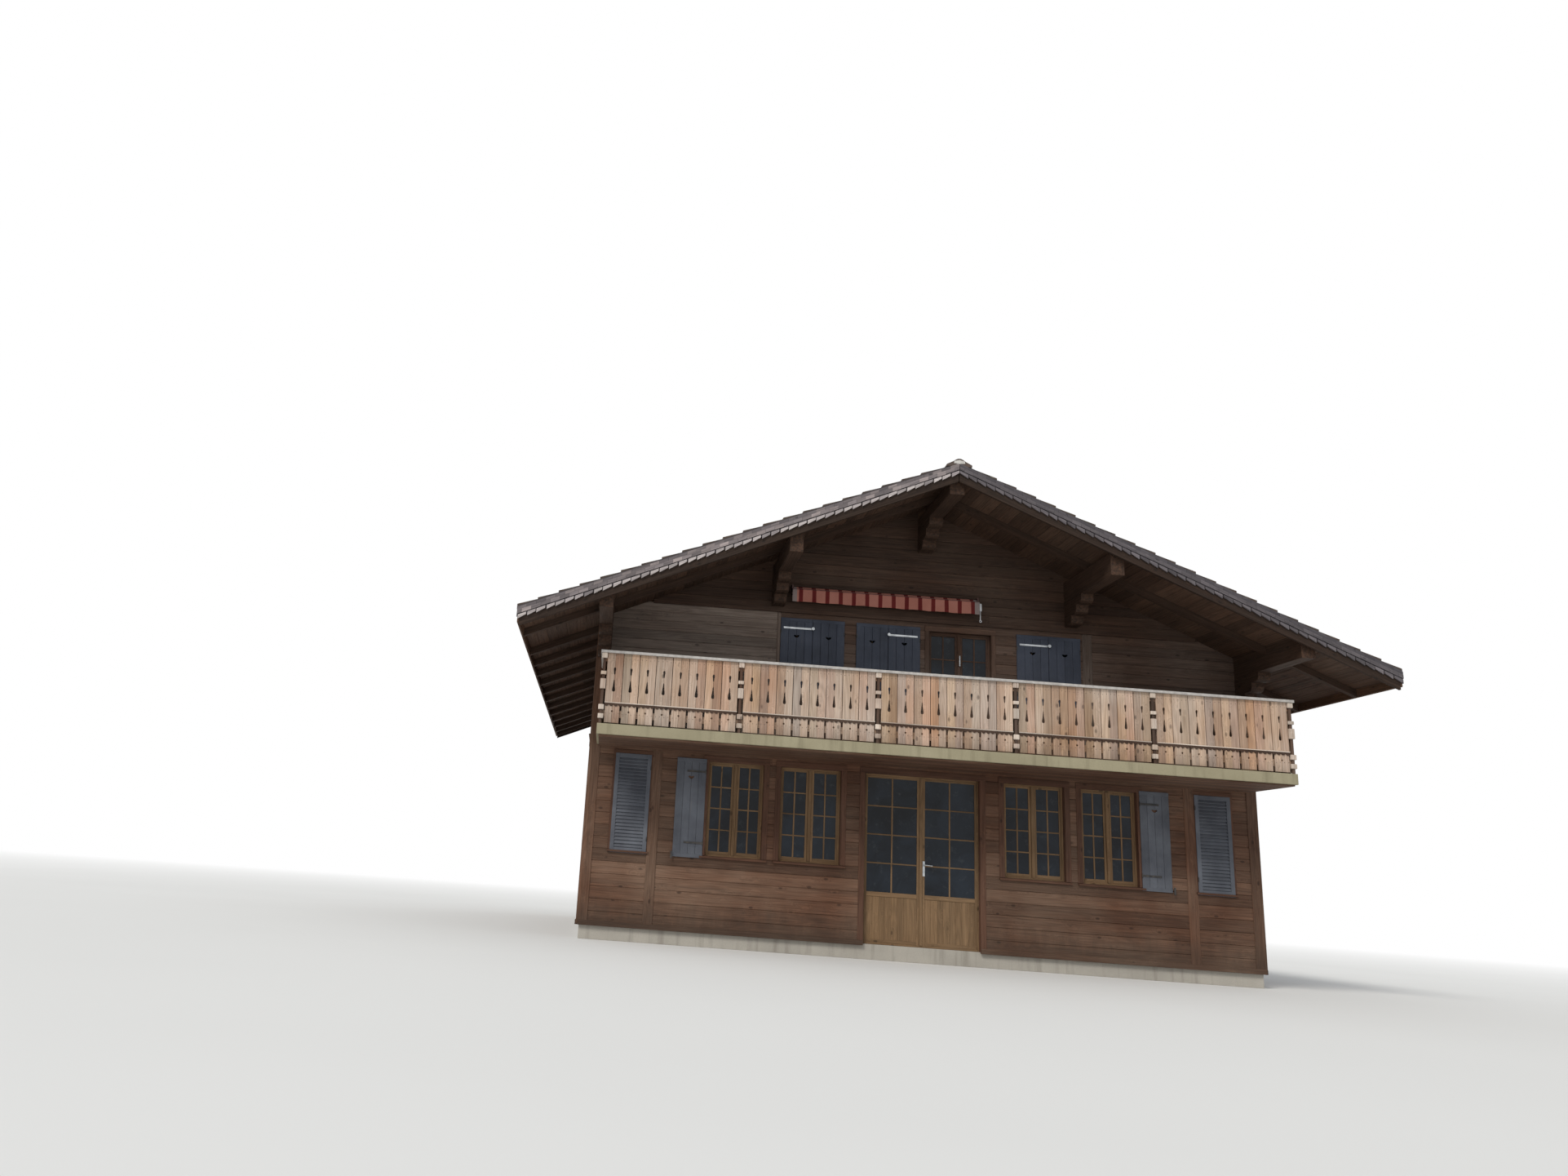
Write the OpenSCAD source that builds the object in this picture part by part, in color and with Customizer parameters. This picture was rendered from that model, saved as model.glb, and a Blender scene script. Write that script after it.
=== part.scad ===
// Alpine chalet of two storeys with a full-width balcony under a wide, shallow gable roof
// Millimetres. Z points up, the balcony and the visible gable face the negative Y direction
// The origin is on the ground, under the middle of the roof

/* [House] */
// Half the width over the side walls
wall_half = 4650; // [3600:10:6000]
// Depth from the front wall face to the back wall face
house_depth = 9000; // [6000:50:14000]
// Thickness of the timber walls
wall_t = 180; // [120:5:260]
// Height of the ground floor and of the plinth
floor_z = 200; // [100:10:600]
// Underside of the concrete floor between the storeys
slab_low = 2610; // [2400:10:3000]
// Walking surface of the balcony and the upper floor
slab_top = 2750; // [2500:10:3200]
// Underside of the boarded gable, which stands proud of the wall
gable_z = 4720; // [4500:10:5200]
// How far the boarded gable stands proud
gable_proud = 40; // [20:5:80]

/* [Roof] */
// Height of the roof line at the ridge
ridge_z = 6530; // [5800:10:7500]
// Fall of the roof for each unit of width
slope = 0.4225; // [0.3:0.0025:0.6]
// Half the width over the eaves
eave_half = 5700; // [4800:10:6800]
// Roof overhang in front of the front wall
verge_front = 1760; // [900:10:2200]
// Roof overhang behind the back wall
verge_back = 1200; // [600:10:2000]
// Width of one course of the covering, measured level
course = 260; // [180:5:400]
// Height of the step from one course to the next
course_step = 25; // [10:1:40]

/* [Balcony] */
// Depth of the balcony in front of the wall
balcony_depth = 1200; // [900:10:1600]
// Half the width of the balcony
balcony_half = 4570; // [3500:10:5500]
// Height of the rail over the balcony floor
rail_h = 970; // [900:5:1150]
// How far the boards stand behind the edge of the floor slab
board_back = 20; // [0:5:60]
// Number of panels along the front
panels = 5; // [3:1:8]
// Pairs of boards in one panel
panel_pairs = 8; // [4:1:12]
// Width of a column between two panels
column_w = 73; // [50:1:120]
// Thickness of a sawn board
board_t = 25; // [16:1:40]
// Gap between two pairs of boards
pair_gap = 8; // [2:0.5:14]

/* [Openings] */
// Head of the windows of the ground storey
ground_head = 2490; // [2200:10:2600]
// Sill of the windows of the ground storey
ground_sill = 1200; // [800:10:1500]
// Head of the windows and the door of the upper storey
upper_head = 4580; // [4300:10:4700]
// Sill of the windows of the upper storey
upper_sill = 3600; // [3300:10:3800]

/* [Hidden] */
e = 1;
y_mid = (house_depth + verge_back - verge_front) / 2;
cover_t = 60;
deck_t = 70;
rafter_h = 110;
rafter_w = 80;
deck_low = cover_t + deck_t;
rafter_low = deck_low + rafter_h;
deck_end = eave_half - 40;
verge_t = 25;
barge_t = 40;
roof_y0 = -verge_front + verge_t;
roof_y1 = house_depth + verge_back - verge_t;
purlin_y0 = -1640;
purlin_y1 = house_depth + verge_back - 120;
ridge_purlin_half = 100;
ridge_purlin_low = 6090;
mid_purlin_x = 2120;
mid_purlin_half = 90;
mid_purlin_low = 5130;
eave_purlin_low = 4200;
back_wall_y = house_depth - wall_t;

// openings of the front wall, as left and right edge
ground_windows = [[-4250, -3830], [-2990, -2210], [-1980, -1130], [1130, 1980], [2210, 2990], [3830, 4250]];
terrace_door = [-800, 800];
upper_windows = [[-2020, -1180], [-930, -90], [1380, 2220]];
balcony_door_x = [80, 980];

// openings of the unseen walls, as middle and width
side_windows = [[2700, 900], [6300, 900]];
side_upper_sill = 3250;
side_upper_head = 4050;
back_windows = [[-2600, 900], [0, 900], [2600, 900]];
back_upper_windows = [[-1600, 900], [1600, 900]];

rafter_y = [-1695, -860, 480, 1380, 2280, 3180, 4080, 4980, 5880, 6780, 7680, 8580, 9400, 10055];

wall_brown = [0.29, 0.19, 0.13];
gable_brown = [0.25, 0.17, 0.12];
dark_brown = [0.21, 0.14, 0.10];
concrete = [0.80, 0.77, 0.66];
board_tan = [0.62, 0.50, 0.38];
shutter_blue = [0.30, 0.34, 0.42];
oak = [0.52, 0.37, 0.24];
tile = [0.36, 0.34, 0.34];
metal = [0.72, 0.73, 0.74];
glass = [0.6, 0.7, 0.75, 0.4];
awning_red = [0.75, 0.33, 0.28];

function roof_line(x) = ridge_z - slope * abs(x);

// sizes below are measured from the front wall face, and this puts the house over its origin
module house() {
    translate([0, -y_mid, 0])
        children();
}

// a slab whose outline is drawn in width and height, from y0 to y1
module across(y0, y1) {
    translate([0, y1, 0])
        rotate([90, 0, 0])
            linear_extrude(y1 - y0)
                children();
}

// a slab whose outline is drawn in depth and height, from x0 to x1
module along(x0, x1) {
    translate([x0, 0, 0])
        rotate([90, 0, 90])
            linear_extrude(x1 - x0)
                children();
}

module box(x0, x1, y0, y1, z0, z1) {
    translate([x0, y0, z0])
        cube([x1 - x0, y1 - y0, z1 - z0]);
}

module both_sides() {
    children();
    mirror([1, 0, 0])
        children();
}

module rect(a0, a1, b0, b1) {
    translate([a0, b0])
        square([a1 - a0, b1 - b0]);
}

// everything below the underside of the roof boarding
module under_roof_outline() {
    polygon([
        [-eave_half, 0],
        [eave_half, 0],
        [eave_half, roof_line(eave_half) - deck_low],
        [0, ridge_z - deck_low],
        [-eave_half, roof_line(eave_half) - deck_low]
    ]);
}

// one sloping strip of the right roof side, between two depths under the roof line
module strip_outline(x0, x1, upper, lower) {
    polygon([
        [x0, roof_line(x0) - lower],
        [x1, roof_line(x1) - lower],
        [x1, roof_line(x1) - upper],
        [x0, roof_line(x0) - upper]
    ]);
}

module ridge_purlin_outline() {
    h = ridge_purlin_half;
    polygon([
        [-h, ridge_purlin_low],
        [h, ridge_purlin_low],
        [h, roof_line(h) - rafter_low],
        [0, ridge_z - rafter_low],
        [-h, roof_line(h) - rafter_low]
    ]);
}

module mid_purlin_outline() {
    x0 = mid_purlin_x - mid_purlin_half;
    x1 = mid_purlin_x + mid_purlin_half;
    polygon([
        [x0, mid_purlin_low],
        [x1, mid_purlin_low],
        [x1, roof_line(x1) - rafter_low],
        [x0, roof_line(x0) - rafter_low]
    ]);
}

module eave_purlin_outline() {
    x0 = wall_half - wall_t;
    polygon([
        [x0, eave_purlin_low],
        [wall_half, eave_purlin_low],
        [wall_half, roof_line(wall_half) - deck_low],
        [x0, roof_line(x0) - deck_low]
    ]);
}

// ground storey

module plinth() {
    color(concrete) house()
        box(-wall_half + 20, wall_half - 20, 20, house_depth - 20, 0, floor_z);
}

module front_wall_ground_piers() {
    edges = [
        -wall_half, ground_windows[0][0], ground_windows[0][1], ground_windows[1][0],
        ground_windows[1][1], ground_windows[2][0], ground_windows[2][1], terrace_door[0],
        terrace_door[1], ground_windows[3][0], ground_windows[3][1], ground_windows[4][0],
        ground_windows[4][1], ground_windows[5][0], ground_windows[5][1], wall_half
    ];
    color(wall_brown) house()
        for (i = [0 : 2 : len(edges) - 2])
            box(edges[i], edges[i + 1], 0, wall_t, floor_z, ground_head);
}

module front_wall_ground_aprons() {
    color(wall_brown) house()
        for (w = ground_windows)
            box(w[0], w[1], 0, wall_t, floor_z, ground_sill);
}

module front_wall_ground_head() {
    color(wall_brown) house()
        box(-wall_half, wall_half, 0, wall_t, ground_head, slab_low);
}

module side_wall(z0, z1, sill, head) {
    along(wall_half - wall_t, wall_half)
        difference() {
            rect(wall_t, back_wall_y, z0, z1);
            for (w = side_windows)
                rect(w[0] - w[1] / 2, w[0] + w[1] / 2, sill, head);
        }
}

module right_wall_ground() {
    color(wall_brown) house()
        side_wall(floor_z, slab_low, ground_sill, ground_head);
}

module left_wall_ground() {
    mirror([1, 0, 0])
        right_wall_ground();
}

module back_wall_ground() {
    color(wall_brown) house()
        across(back_wall_y, house_depth)
            difference() {
                rect(-wall_half, wall_half, floor_z, slab_low);
                for (w = back_windows)
                    rect(w[0] - w[1] / 2, w[0] + w[1] / 2, ground_sill, ground_head);
            }
}

// the floor between the storeys, which carries on outside as the balcony

module floor_slab() {
    color(concrete) house()
        box(-balcony_half, balcony_half, -balcony_depth, house_depth - 80, slab_low, slab_top);
}

module belt_boards() {
    color(wall_brown) house() {
        both_sides()
            box(balcony_half, wall_half, 0, house_depth, slab_low, slab_top);
        box(-balcony_half + 2, balcony_half - 2, house_depth - 80, house_depth, slab_low, slab_top);
    }
}

module balcony_soffit() {
    color(dark_brown) house()
        box(-balcony_half + 30, balcony_half - 30, -balcony_depth + 30, 0, slab_low - 20, slab_low);
}

// upper storey

module front_wall_upper_piers() {
    edges = [
        -wall_half, upper_windows[0][0], upper_windows[0][1], upper_windows[1][0],
        upper_windows[1][1], balcony_door_x[0], balcony_door_x[1], upper_windows[2][0],
        upper_windows[2][1], wall_half
    ];
    color(wall_brown) house()
        across(0, wall_t)
            difference() {
                intersection() {
                    for (i = [0 : 2 : len(edges) - 2])
                        rect(edges[i], edges[i + 1], slab_top, upper_head);
                    under_roof_outline();
                }
                both_sides()
                    eave_purlin_outline();
            }
}

module front_wall_upper_aprons() {
    color(wall_brown) house()
        for (w = upper_windows)
            box(w[0], w[1], 0, wall_t, slab_top, upper_sill);
}

module gable_front() {
    color(gable_brown) house()
        difference() {
            union() {
                across(0, wall_t)
                    intersection() {
                        rect(-wall_half, wall_half, upper_head, ridge_z);
                        under_roof_outline();
                    }
                across(-gable_proud, e)
                    intersection() {
                        rect(-wall_half, wall_half, gable_z, ridge_z);
                        under_roof_outline();
                    }
            }
            across(-gable_proud - e, wall_t + e) {
                ridge_purlin_outline();
                both_sides()
                    mid_purlin_outline();
            }
        }
}

module right_wall_upper() {
    color(wall_brown) house()
        side_wall(slab_top, eave_purlin_low, side_upper_sill, side_upper_head);
}

module left_wall_upper() {
    mirror([1, 0, 0])
        right_wall_upper();
}

module back_wall_upper() {
    color(gable_brown) house()
        across(back_wall_y, house_depth)
            difference() {
                intersection() {
                    rect(-wall_half, wall_half, slab_top, ridge_z);
                    under_roof_outline();
                }
                for (w = back_upper_windows)
                    rect(w[0] - w[1] / 2, w[0] + w[1] / 2, upper_sill, upper_head);
                ridge_purlin_outline();
                both_sides() {
                    mid_purlin_outline();
                    eave_purlin_outline();
                }
            }
}

// timbers of the roof

module ridge_purlin() {
    color(dark_brown) house()
        across(purlin_y0, purlin_y1)
            ridge_purlin_outline();
}

module mid_purlins() {
    color(dark_brown) house()
        across(purlin_y0, purlin_y1)
            both_sides()
                mid_purlin_outline();
}

module eave_purlins() {
    color(dark_brown) house()
        difference() {
            across(purlin_y0, purlin_y1)
                both_sides()
                    eave_purlin_outline();
            rafters_cut();
        }
}

module rafter_pair(y, grow) {
    across(y, y + rafter_w)
        both_sides()
            strip_outline(5, deck_end, deck_low - grow, rafter_low);
}

module rafters_cut() {
    for (y = rafter_y)
        rafter_pair(y, e);
}

module rafters() {
    color(dark_brown) house()
        for (y = rafter_y)
            rafter_pair(y, 0);
}

// three log ends under each purlin, each reaching further out than the one below
log_count = 3;
log_h = 120;
log_step = 180;
first_reach = 260;

module log_outline(reach) {
    polygon([
        [0, 0],
        [60 - reach, 0],
        [18 - reach, 18],
        [-reach, 60],
        [-reach, log_h],
        [0, log_h]
    ]);
}

module console_outline(face) {
    for (i = [0 : log_count - 1])
        translate([face, (i - log_count) * log_h])
            log_outline(first_reach + i * log_step);
}

module console_at(x0, x1, z, face) {
    translate([0, 0, z])
        along(x0, x1)
            console_outline(face);
}

module console_set(gable_face) {
    mid_x0 = mid_purlin_x - mid_purlin_half;
    mid_x1 = mid_purlin_x + mid_purlin_half;
    console_at(-ridge_purlin_half, ridge_purlin_half, ridge_purlin_low, gable_face);
    both_sides() {
        console_at(mid_x0, mid_x1, mid_purlin_low, gable_face);
        console_at(wall_half - wall_t, wall_half, eave_purlin_low, 0);
    }
}

module purlin_consoles() {
    color(dark_brown) house() {
        console_set(-gable_proud);
        translate([0, house_depth, 0])
            mirror([0, 1, 0])
                console_set(0);
    }
}

// skin of the roof

module roof_deck_right() {
    color(dark_brown) house()
        across(roof_y0, roof_y1)
            strip_outline(0, deck_end, cover_t, deck_low);
}

module roof_deck_left() {
    mirror([1, 0, 0])
        roof_deck_right();
}

ridge_cap_half = 170;
ridge_cap_rise = 25;
ridge_cap_flat = 40;
ridge_cap_edge = 5;
course_count = floor((eave_half - ridge_cap_half) / course);
first_course = eave_half - course_count * course;

module roof_covering_right() {
    steps = [
        for (i = [0 : course_count - 1])
            let (x0 = first_course + i * course, x1 = x0 + course)
                each [[x0, roof_line(x0) - course_step], [x1, roof_line(x1)]]
    ];
    color(tile) house()
        across(roof_y0, roof_y1)
            polygon(concat(
                [[eave_half, roof_line(eave_half) - cover_t], [0, ridge_z - cover_t]],
                [[0, ridge_z - course_step]],
                steps
            ));
}

module roof_covering_left() {
    mirror([1, 0, 0])
        roof_covering_right();
}

module ridge_cap() {
    h = min(ridge_cap_half, first_course);
    color(tile) house()
        across(-verge_front, house_depth + verge_back)
            polygon([
                [-h, roof_line(h) - course_step],
                [0, ridge_z - course_step],
                [h, roof_line(h) - course_step],
                [h, roof_line(h) + ridge_cap_edge],
                [ridge_cap_flat, ridge_z + ridge_cap_rise],
                [-ridge_cap_flat, ridge_z + ridge_cap_rise],
                [-h, roof_line(h) + ridge_cap_edge]
            ]);
}

// the pale stepped trim along the sloping roof edges
trim_count = 48;
trim_start = 5;
trim_pitch = (eave_half - 2 * trim_start) / trim_count;
trim_w = 170;
trim_tooth_h = 20;
barge_low = 290;

module trim_outline() {
    lower = [
        for (i = [0 : trim_count - 1])
            let (x0 = trim_start + i * trim_pitch, x1 = x0 + trim_pitch)
                each [[x0, roof_line(x0) - trim_w], [x1, roof_line(x1) - trim_w - trim_tooth_h]]
    ];
    x_end = eave_half - trim_start;
    polygon(concat(
        [[trim_start, roof_line(trim_start) - course_step]],
        lower,
        [[x_end, roof_line(x_end) - course_step]]
    ));
}

module verge_trim() {
    color(metal) house() {
        across(-verge_front, roof_y0)
            both_sides()
                trim_outline();
        across(roof_y1, house_depth + verge_back)
            both_sides()
                trim_outline();
    }
}

module barge_boards() {
    color(wall_brown) house() {
        across(roof_y0, roof_y0 + barge_t)
            both_sides()
                strip_outline(trim_start, deck_end, deck_low, barge_low);
        across(roof_y1 - barge_t, roof_y1)
            both_sides()
                strip_outline(trim_start, deck_end, deck_low, barge_low);
    }
}

module eaves_boards() {
    color(wall_brown) house()
        across(roof_y0, roof_y1)
            both_sides()
                strip_outline(deck_end, deck_end + 25, cover_t, rafter_low);
}

// balcony railing

rail_top = slab_top + rail_h;
cap_t = 35;
board_top = rail_top - cap_t;
board_foot = slab_top + 15;
boards_y = -balcony_depth + board_back;
rails_y = boards_y + board_t;
rail_t = 40;
post_t = 60;
posts_y = rails_y + rail_t;
side_face = balcony_half - board_back - board_t;
panel_w = (2 * balcony_half - (panels + 1) * column_w) / panels;
board_w = panel_w / (2 * panel_pairs);
board_joint = 2;
clearance = 2;
wall_gap = 5;
foot_narrowing = 10;
foot_h = 235;
foot_slope = 20;
rail_w = 90;
rail_heights = [slab_top + 90, board_top - 110];

// half of one sawn cut-out between two boards, from the foot up, as depth into the board and height
module cut_outline() {
    polygon([[0, 138], [12, 151], [0, 164]]);
    polygon([[0, 410], [19, 422], [19, 448], [0, 574]]);
    polygon([[0, 638], [14, 716], [0, 734]]);
}

// one board from 0 to its width, sawn along its right edge and narrowed at the foot on its left edge
module board_outline() {
    w = board_w - (pair_gap + board_joint) / 2;
    h = board_top - board_foot;
    difference() {
        polygon([
            [foot_narrowing, 0], [w, 0], [w, h], [0, h], [0, foot_h + foot_slope], [foot_narrowing, foot_h]
        ]);
        translate([w + 0.01, 0])
            mirror([1, 0])
                cut_outline();
    }
}

module board_pair() {
    for (s = [0, 1])
        mirror([s, 0])
            translate([-board_w + pair_gap / 2, 0])
                board_outline();
}

module pairs_in_a_row(count) {
    for (i = [0 : count - 1])
        translate([(i - (count - 1) / 2) * 2 * board_w, 0])
            board_pair();
}

module panel_rails(y0, y1, x0, x1) {
    for (z = rail_heights)
        box(x0, x1, y0, y1, z, z + rail_w);
}

// middle of a column, and of the panel to the right of it
function column_x(i) = -balcony_half + column_w / 2 + i * (panel_w + column_w);
function panel_x(i) = column_x(i) + (column_w + panel_w) / 2;

// the sawn boards of the front, panel by panel, on the two rails that carry them
module balcony_panel_front() {
    x_end = side_face - clearance;
    color(board_tan) house() {
        translate([0, 0, board_foot])
            across(boards_y, rails_y)
                for (i = [0 : panels - 1])
                    translate([panel_x(i), 0])
                        pairs_in_a_row(panel_pairs);
        panel_rails(rails_y, posts_y, -x_end, x_end);
    }
}

// the sawn boards of both sides, with a plain strip at each end where no pair fits
module balcony_panels_sides() {
    run = -rails_y - 2 * wall_gap;
    count = floor(run / (2 * board_w));
    color(board_tan) house()
        both_sides() {
            translate([0, -run / 2 - wall_gap, board_foot])
                along(side_face, side_face + board_t) {
                    pairs_in_a_row(count);
                    for (s = [0, 1])
                        mirror([s, 0])
                            rect(count * board_w + pair_gap / 2, run / 2, 0, board_top - board_foot);
                }
            panel_rails(posts_y + clearance, -wall_gap, side_face - rail_t, side_face);
        }
}

// blocks of a column as foot and head over the balcony floor, with a slender shaft between them
column_blocks = [[65, 127], [182, 248], [455, 590], [645, 690], [865, rail_h - cap_t]];
shaft_inset = 18;

module column() {
    translate([-column_w / 2 + shaft_inset, shaft_inset, 0])
        cube([column_w - 2 * shaft_inset, board_back + board_t - shaft_inset, rail_h - cap_t]);
    for (b = column_blocks)
        translate([-column_w / 2, 0, b[0]])
            cube([column_w, board_back + board_t, b[1] - b[0]]);
}

// carved columns between the panels and plain posts behind the rails
module balcony_posts() {
    x_end = side_face - rail_t;
    color(board_tan) house() {
        for (i = [0 : panels]) {
            translate([column_x(i), -balcony_depth, slab_top])
                column();
            x_post = max(-x_end, min(x_end - post_t, column_x(i) - post_t / 2));
            box(x_post, x_post + post_t, posts_y, posts_y + post_t, slab_top, board_top);
        }
        both_sides()
            box(x_end - post_t, x_end, -post_t, 0, slab_top, board_top);
    }
}

cap_overhang = 15;

module balcony_rail_cap() {
    x1 = balcony_half + cap_overhang;
    y0 = -balcony_depth - cap_overhang;
    w = posts_y + post_t - y0;
    color(metal) house() {
        box(-x1, x1, y0, y0 + w, board_top, rail_top);
        both_sides()
            box(x1 - w, x1, y0 + w + clearance, 0, board_top, rail_top);
    }
}

// a thin lath with a toothed lower edge across the foot of each panel
lath_teeth = 29;
lath_tooth_h = 22;
lath_w = 54;
lath_t = 12;
lath_low = slab_top + 232;

module lath_outline() {
    length = panel_w - 6;
    pitch = length / lath_teeth;
    x0 = -length / 2;
    teeth = [
        for (i = [0 : lath_teeth - 1])
            each [[x0 + i * pitch, lath_tooth_h], [x0 + (i + 0.5) * pitch, 0]]
    ];
    polygon(concat(
        [[x0, lath_w]],
        teeth,
        [[x0 + length, lath_tooth_h], [x0 + length, lath_w]]
    ));
}

module balcony_lath() {
    color(board_tan) house()
        translate([0, 0, lath_low])
            across(boards_y - lath_t, boards_y)
                for (i = [0 : panels - 1])
                    translate([panel_x(i), 0])
                        lath_outline();
}

// windows, doors and shutters

stile = 55;
mullion = 110;
frame_y = 60;
frame_d = 60;
pane_d = 24;
glass_y = frame_y + (frame_d - pane_d) / 2;
wide_window = 600;
bottom_rail = 70;

module lights_outline(x0, x1, z0, z1) {
    xm = (x0 + x1) / 2;
    if (x1 - x0 > wide_window) {
        rect(x0 + stile, xm - mullion / 2, z0 + bottom_rail, z1 - stile);
        rect(xm + mullion / 2, x1 - stile, z0 + bottom_rail, z1 - stile);
    } else {
        rect(x0 + stile, x1 - stile, z0 + bottom_rail, z1 - stile);
    }
}

module frame_outline(x0, x1, z0, z1) {
    difference() {
        rect(x0, x1, z0, z1);
        lights_outline(x0, x1, z0, z1);
    }
}

module front_frames() {
    for (w = ground_windows)
        frame_outline(w[0], w[1], ground_sill, ground_head);
    frame_outline(terrace_door[0], terrace_door[1], floor_z, ground_head);
    for (w = upper_windows)
        frame_outline(w[0], w[1], upper_sill, upper_head);
}

module front_lights() {
    for (w = ground_windows)
        lights_outline(w[0], w[1], ground_sill, ground_head);
    lights_outline(terrace_door[0], terrace_door[1], floor_z, ground_head);
    for (w = upper_windows)
        lights_outline(w[0], w[1], upper_sill, upper_head);
    lights_outline(balcony_door_x[0], balcony_door_x[1], slab_top, upper_head);
}

module window_frames_front() {
    color(oak) house()
        across(frame_y, frame_y + frame_d)
            front_frames();
}

module balcony_door() {
    color(dark_brown) house()
        across(frame_y, frame_y + frame_d)
            frame_outline(balcony_door_x[0], balcony_door_x[1], slab_top, upper_head);
}

module glass_front() {
    color(glass) house()
        across(glass_y, glass_y + pane_d)
            front_lights();
}

// the frame or the glass of each window in a row, given as middle and width
module row_of_windows(windows, sill, head, layer) {
    for (w = windows) {
        x0 = w[0] - w[1] / 2;
        x1 = w[0] + w[1] / 2;
        if (layer == "frame")
            frame_outline(x0, x1, sill, head);
        else
            lights_outline(x0, x1, sill, head);
    }
}

module sides_and_back(layer, inset, depth) {
    both_sides()
        along(wall_half - inset - depth, wall_half - inset) {
            row_of_windows(side_windows, ground_sill, ground_head, layer);
            row_of_windows(side_windows, side_upper_sill, side_upper_head, layer);
        }
    across(house_depth - inset - depth, house_depth - inset) {
        row_of_windows(back_windows, ground_sill, ground_head, layer);
        row_of_windows(back_upper_windows, upper_sill, upper_head, layer);
    }
}

module window_frames_sides_back() {
    color(oak) house()
        sides_and_back("frame", frame_y, frame_d);
}

module glass_sides_back() {
    color(glass) house()
        sides_and_back("glass", glass_y, pane_d);
}

// a closed pair of shutter leaves, each with a small notched cut-out near the top
leaf_t = 30;
leaf_lap = 40;
leaf_joint = 4;
open_leaf_w = 440;
open_leaf_gap = 4;
ground_leaves = [[3790, 4290], [3020, 3430]];
upper_leaf_low = upper_sill - leaf_lap;
upper_leaf_high = upper_head + leaf_lap;

module leaf_outline(x0, x1, z0, z1) {
    xm = (x0 + x1) / 2;
    zc = z1 - 260;
    difference() {
        rect(x0, x1, z0, z1);
        polygon([
            [xm, zc - 26], [xm + 34, zc - 6], [xm + 40, zc + 10], [xm + 16, zc + 16],
            [xm, zc + 6], [xm - 16, zc + 16], [xm - 40, zc + 10], [xm - 34, zc - 6]
        ]);
    }
}

module shutters_front() {
    color(shutter_blue) house()
        across(-leaf_t, 0) {
            for (w = upper_windows) {
                xm = (w[0] + w[1]) / 2;
                leaf_outline(w[0] - leaf_lap, xm - leaf_joint / 2, upper_leaf_low, upper_leaf_high);
                leaf_outline(xm + leaf_joint / 2, w[1] + leaf_lap, upper_leaf_low, upper_leaf_high);
            }
            both_sides()
                for (x = ground_leaves)
                    rect(x[0], x[1], ground_sill - leaf_lap, ground_head + leaf_lap / 2);
        }
}

module shutter_bars() {
    z0 = slab_top + 1710;
    bar_length = 420;
    bar_t = 8;
    color(metal) house()
        for (i = [0 : 2]) {
            xm = (upper_windows[i][0] + upper_windows[i][1]) / 2;
            x0 = (i == 1) ? 0 : -bar_length;
            translate([xm, -leaf_t - bar_t, z0]) {
                translate([x0, 0, 0])
                    cube([bar_length, bar_t, 26]);
                translate([0, bar_t, 13])
                    rotate([90, 0, 0])
                        cylinder(h = 42, r = 22, $fn = 12);
            }
        }
}

// the open leaves on both sides of each window in a row
module open_leaves(windows, sill, head) {
    for (w = windows)
        translate([w[0], 0])
            both_sides()
                translate([w[1] / 2 + open_leaf_gap, 0])
                    rect(0, open_leaf_w, sill, head);
}

module shutters_sides_back() {
    color(shutter_blue) house() {
        both_sides()
            along(wall_half, wall_half + leaf_t) {
                open_leaves(side_windows, ground_sill, ground_head);
                open_leaves(side_windows, side_upper_sill, side_upper_head);
            }
        across(house_depth, house_depth + leaf_t) {
            open_leaves(back_windows, ground_sill, ground_head);
            open_leaves(back_upper_windows, upper_sill, upper_head);
        }
    }
}

module balcony_door_handle() {
    x0 = (balcony_door_x[0] + balcony_door_x[1]) / 2 - 12;
    color(metal) house() {
        box(x0, x0 + 24, frame_y - 6, frame_y, slab_top + 1340, slab_top + 1510);
        translate([x0 + 12, frame_y - 50, slab_top + 1350])
            cylinder(h = 150, r = 9, $fn = 12);
        for (z = [1370, 1480])
            translate([x0 + 12, frame_y - 5, slab_top + z])
                rotate([90, 0, 0])
                    cylinder(h = 45, r = 7, $fn = 12);
    }
}

// awning over the middle of the balcony, wound in

awning_x0 = -1940;
awning_x1 = 750;
bracket_t = 22;
roll_r = 48;
roll_y = -gable_proud - 75;
roll_z = 5015;
bar_y = -212;
bar_d = 40;
valance_t = 6;
valance_low = 4822;
valance_high = 5008;

module awning_roll() {
    color(awning_red) house()
        translate([awning_x0 + bracket_t, roll_y, roll_z])
            rotate([0, 90, 0])
                cylinder(h = awning_x1 - awning_x0 - 2 * bracket_t, r = roll_r, $fn = 24);
}

module awning_valance() {
    color(awning_red) house()
        box(awning_x0, awning_x1, bar_y - valance_t, bar_y, valance_low, valance_high);
}

// gear under the end of the roll, with the eye that takes the crank
module crank_eye() {
    gear_w = 32;
    gear_h = 110;
    rod_h = 130;
    eye_r = 19;
    eye_t = 12;
    translate([-gear_w / 2, -gear_w / 2, -gear_h])
        cube([gear_w, gear_w, gear_h]);
    translate([0, 0, -gear_h - rod_h])
        cylinder(h = rod_h + e, r = 8, $fn = 12);
    translate([0, eye_t / 2, -gear_h - rod_h - eye_r + 3])
        rotate([90, 0, 0])
            difference() {
                cylinder(h = eye_t, r = eye_r, $fn = 12);
                translate([0, 0, -e])
                    cylinder(h = eye_t + 2 * e, r = eye_r - 9, $fn = 12);
            }
}

module awning_frame() {
    color(metal) house() {
        box(awning_x0, awning_x1, bar_y, bar_y + bar_d, valance_high - 33, valance_high + 7);
        for (x = [awning_x0, awning_x1 - bracket_t])
            box(x, x + bracket_t, bar_y + bar_d - e, -gable_proud, roll_z - 60, roll_z + 65);
        translate([awning_x1 + 16, bar_y + 20, valance_high - 20])
            crank_eye();
    }
}

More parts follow.
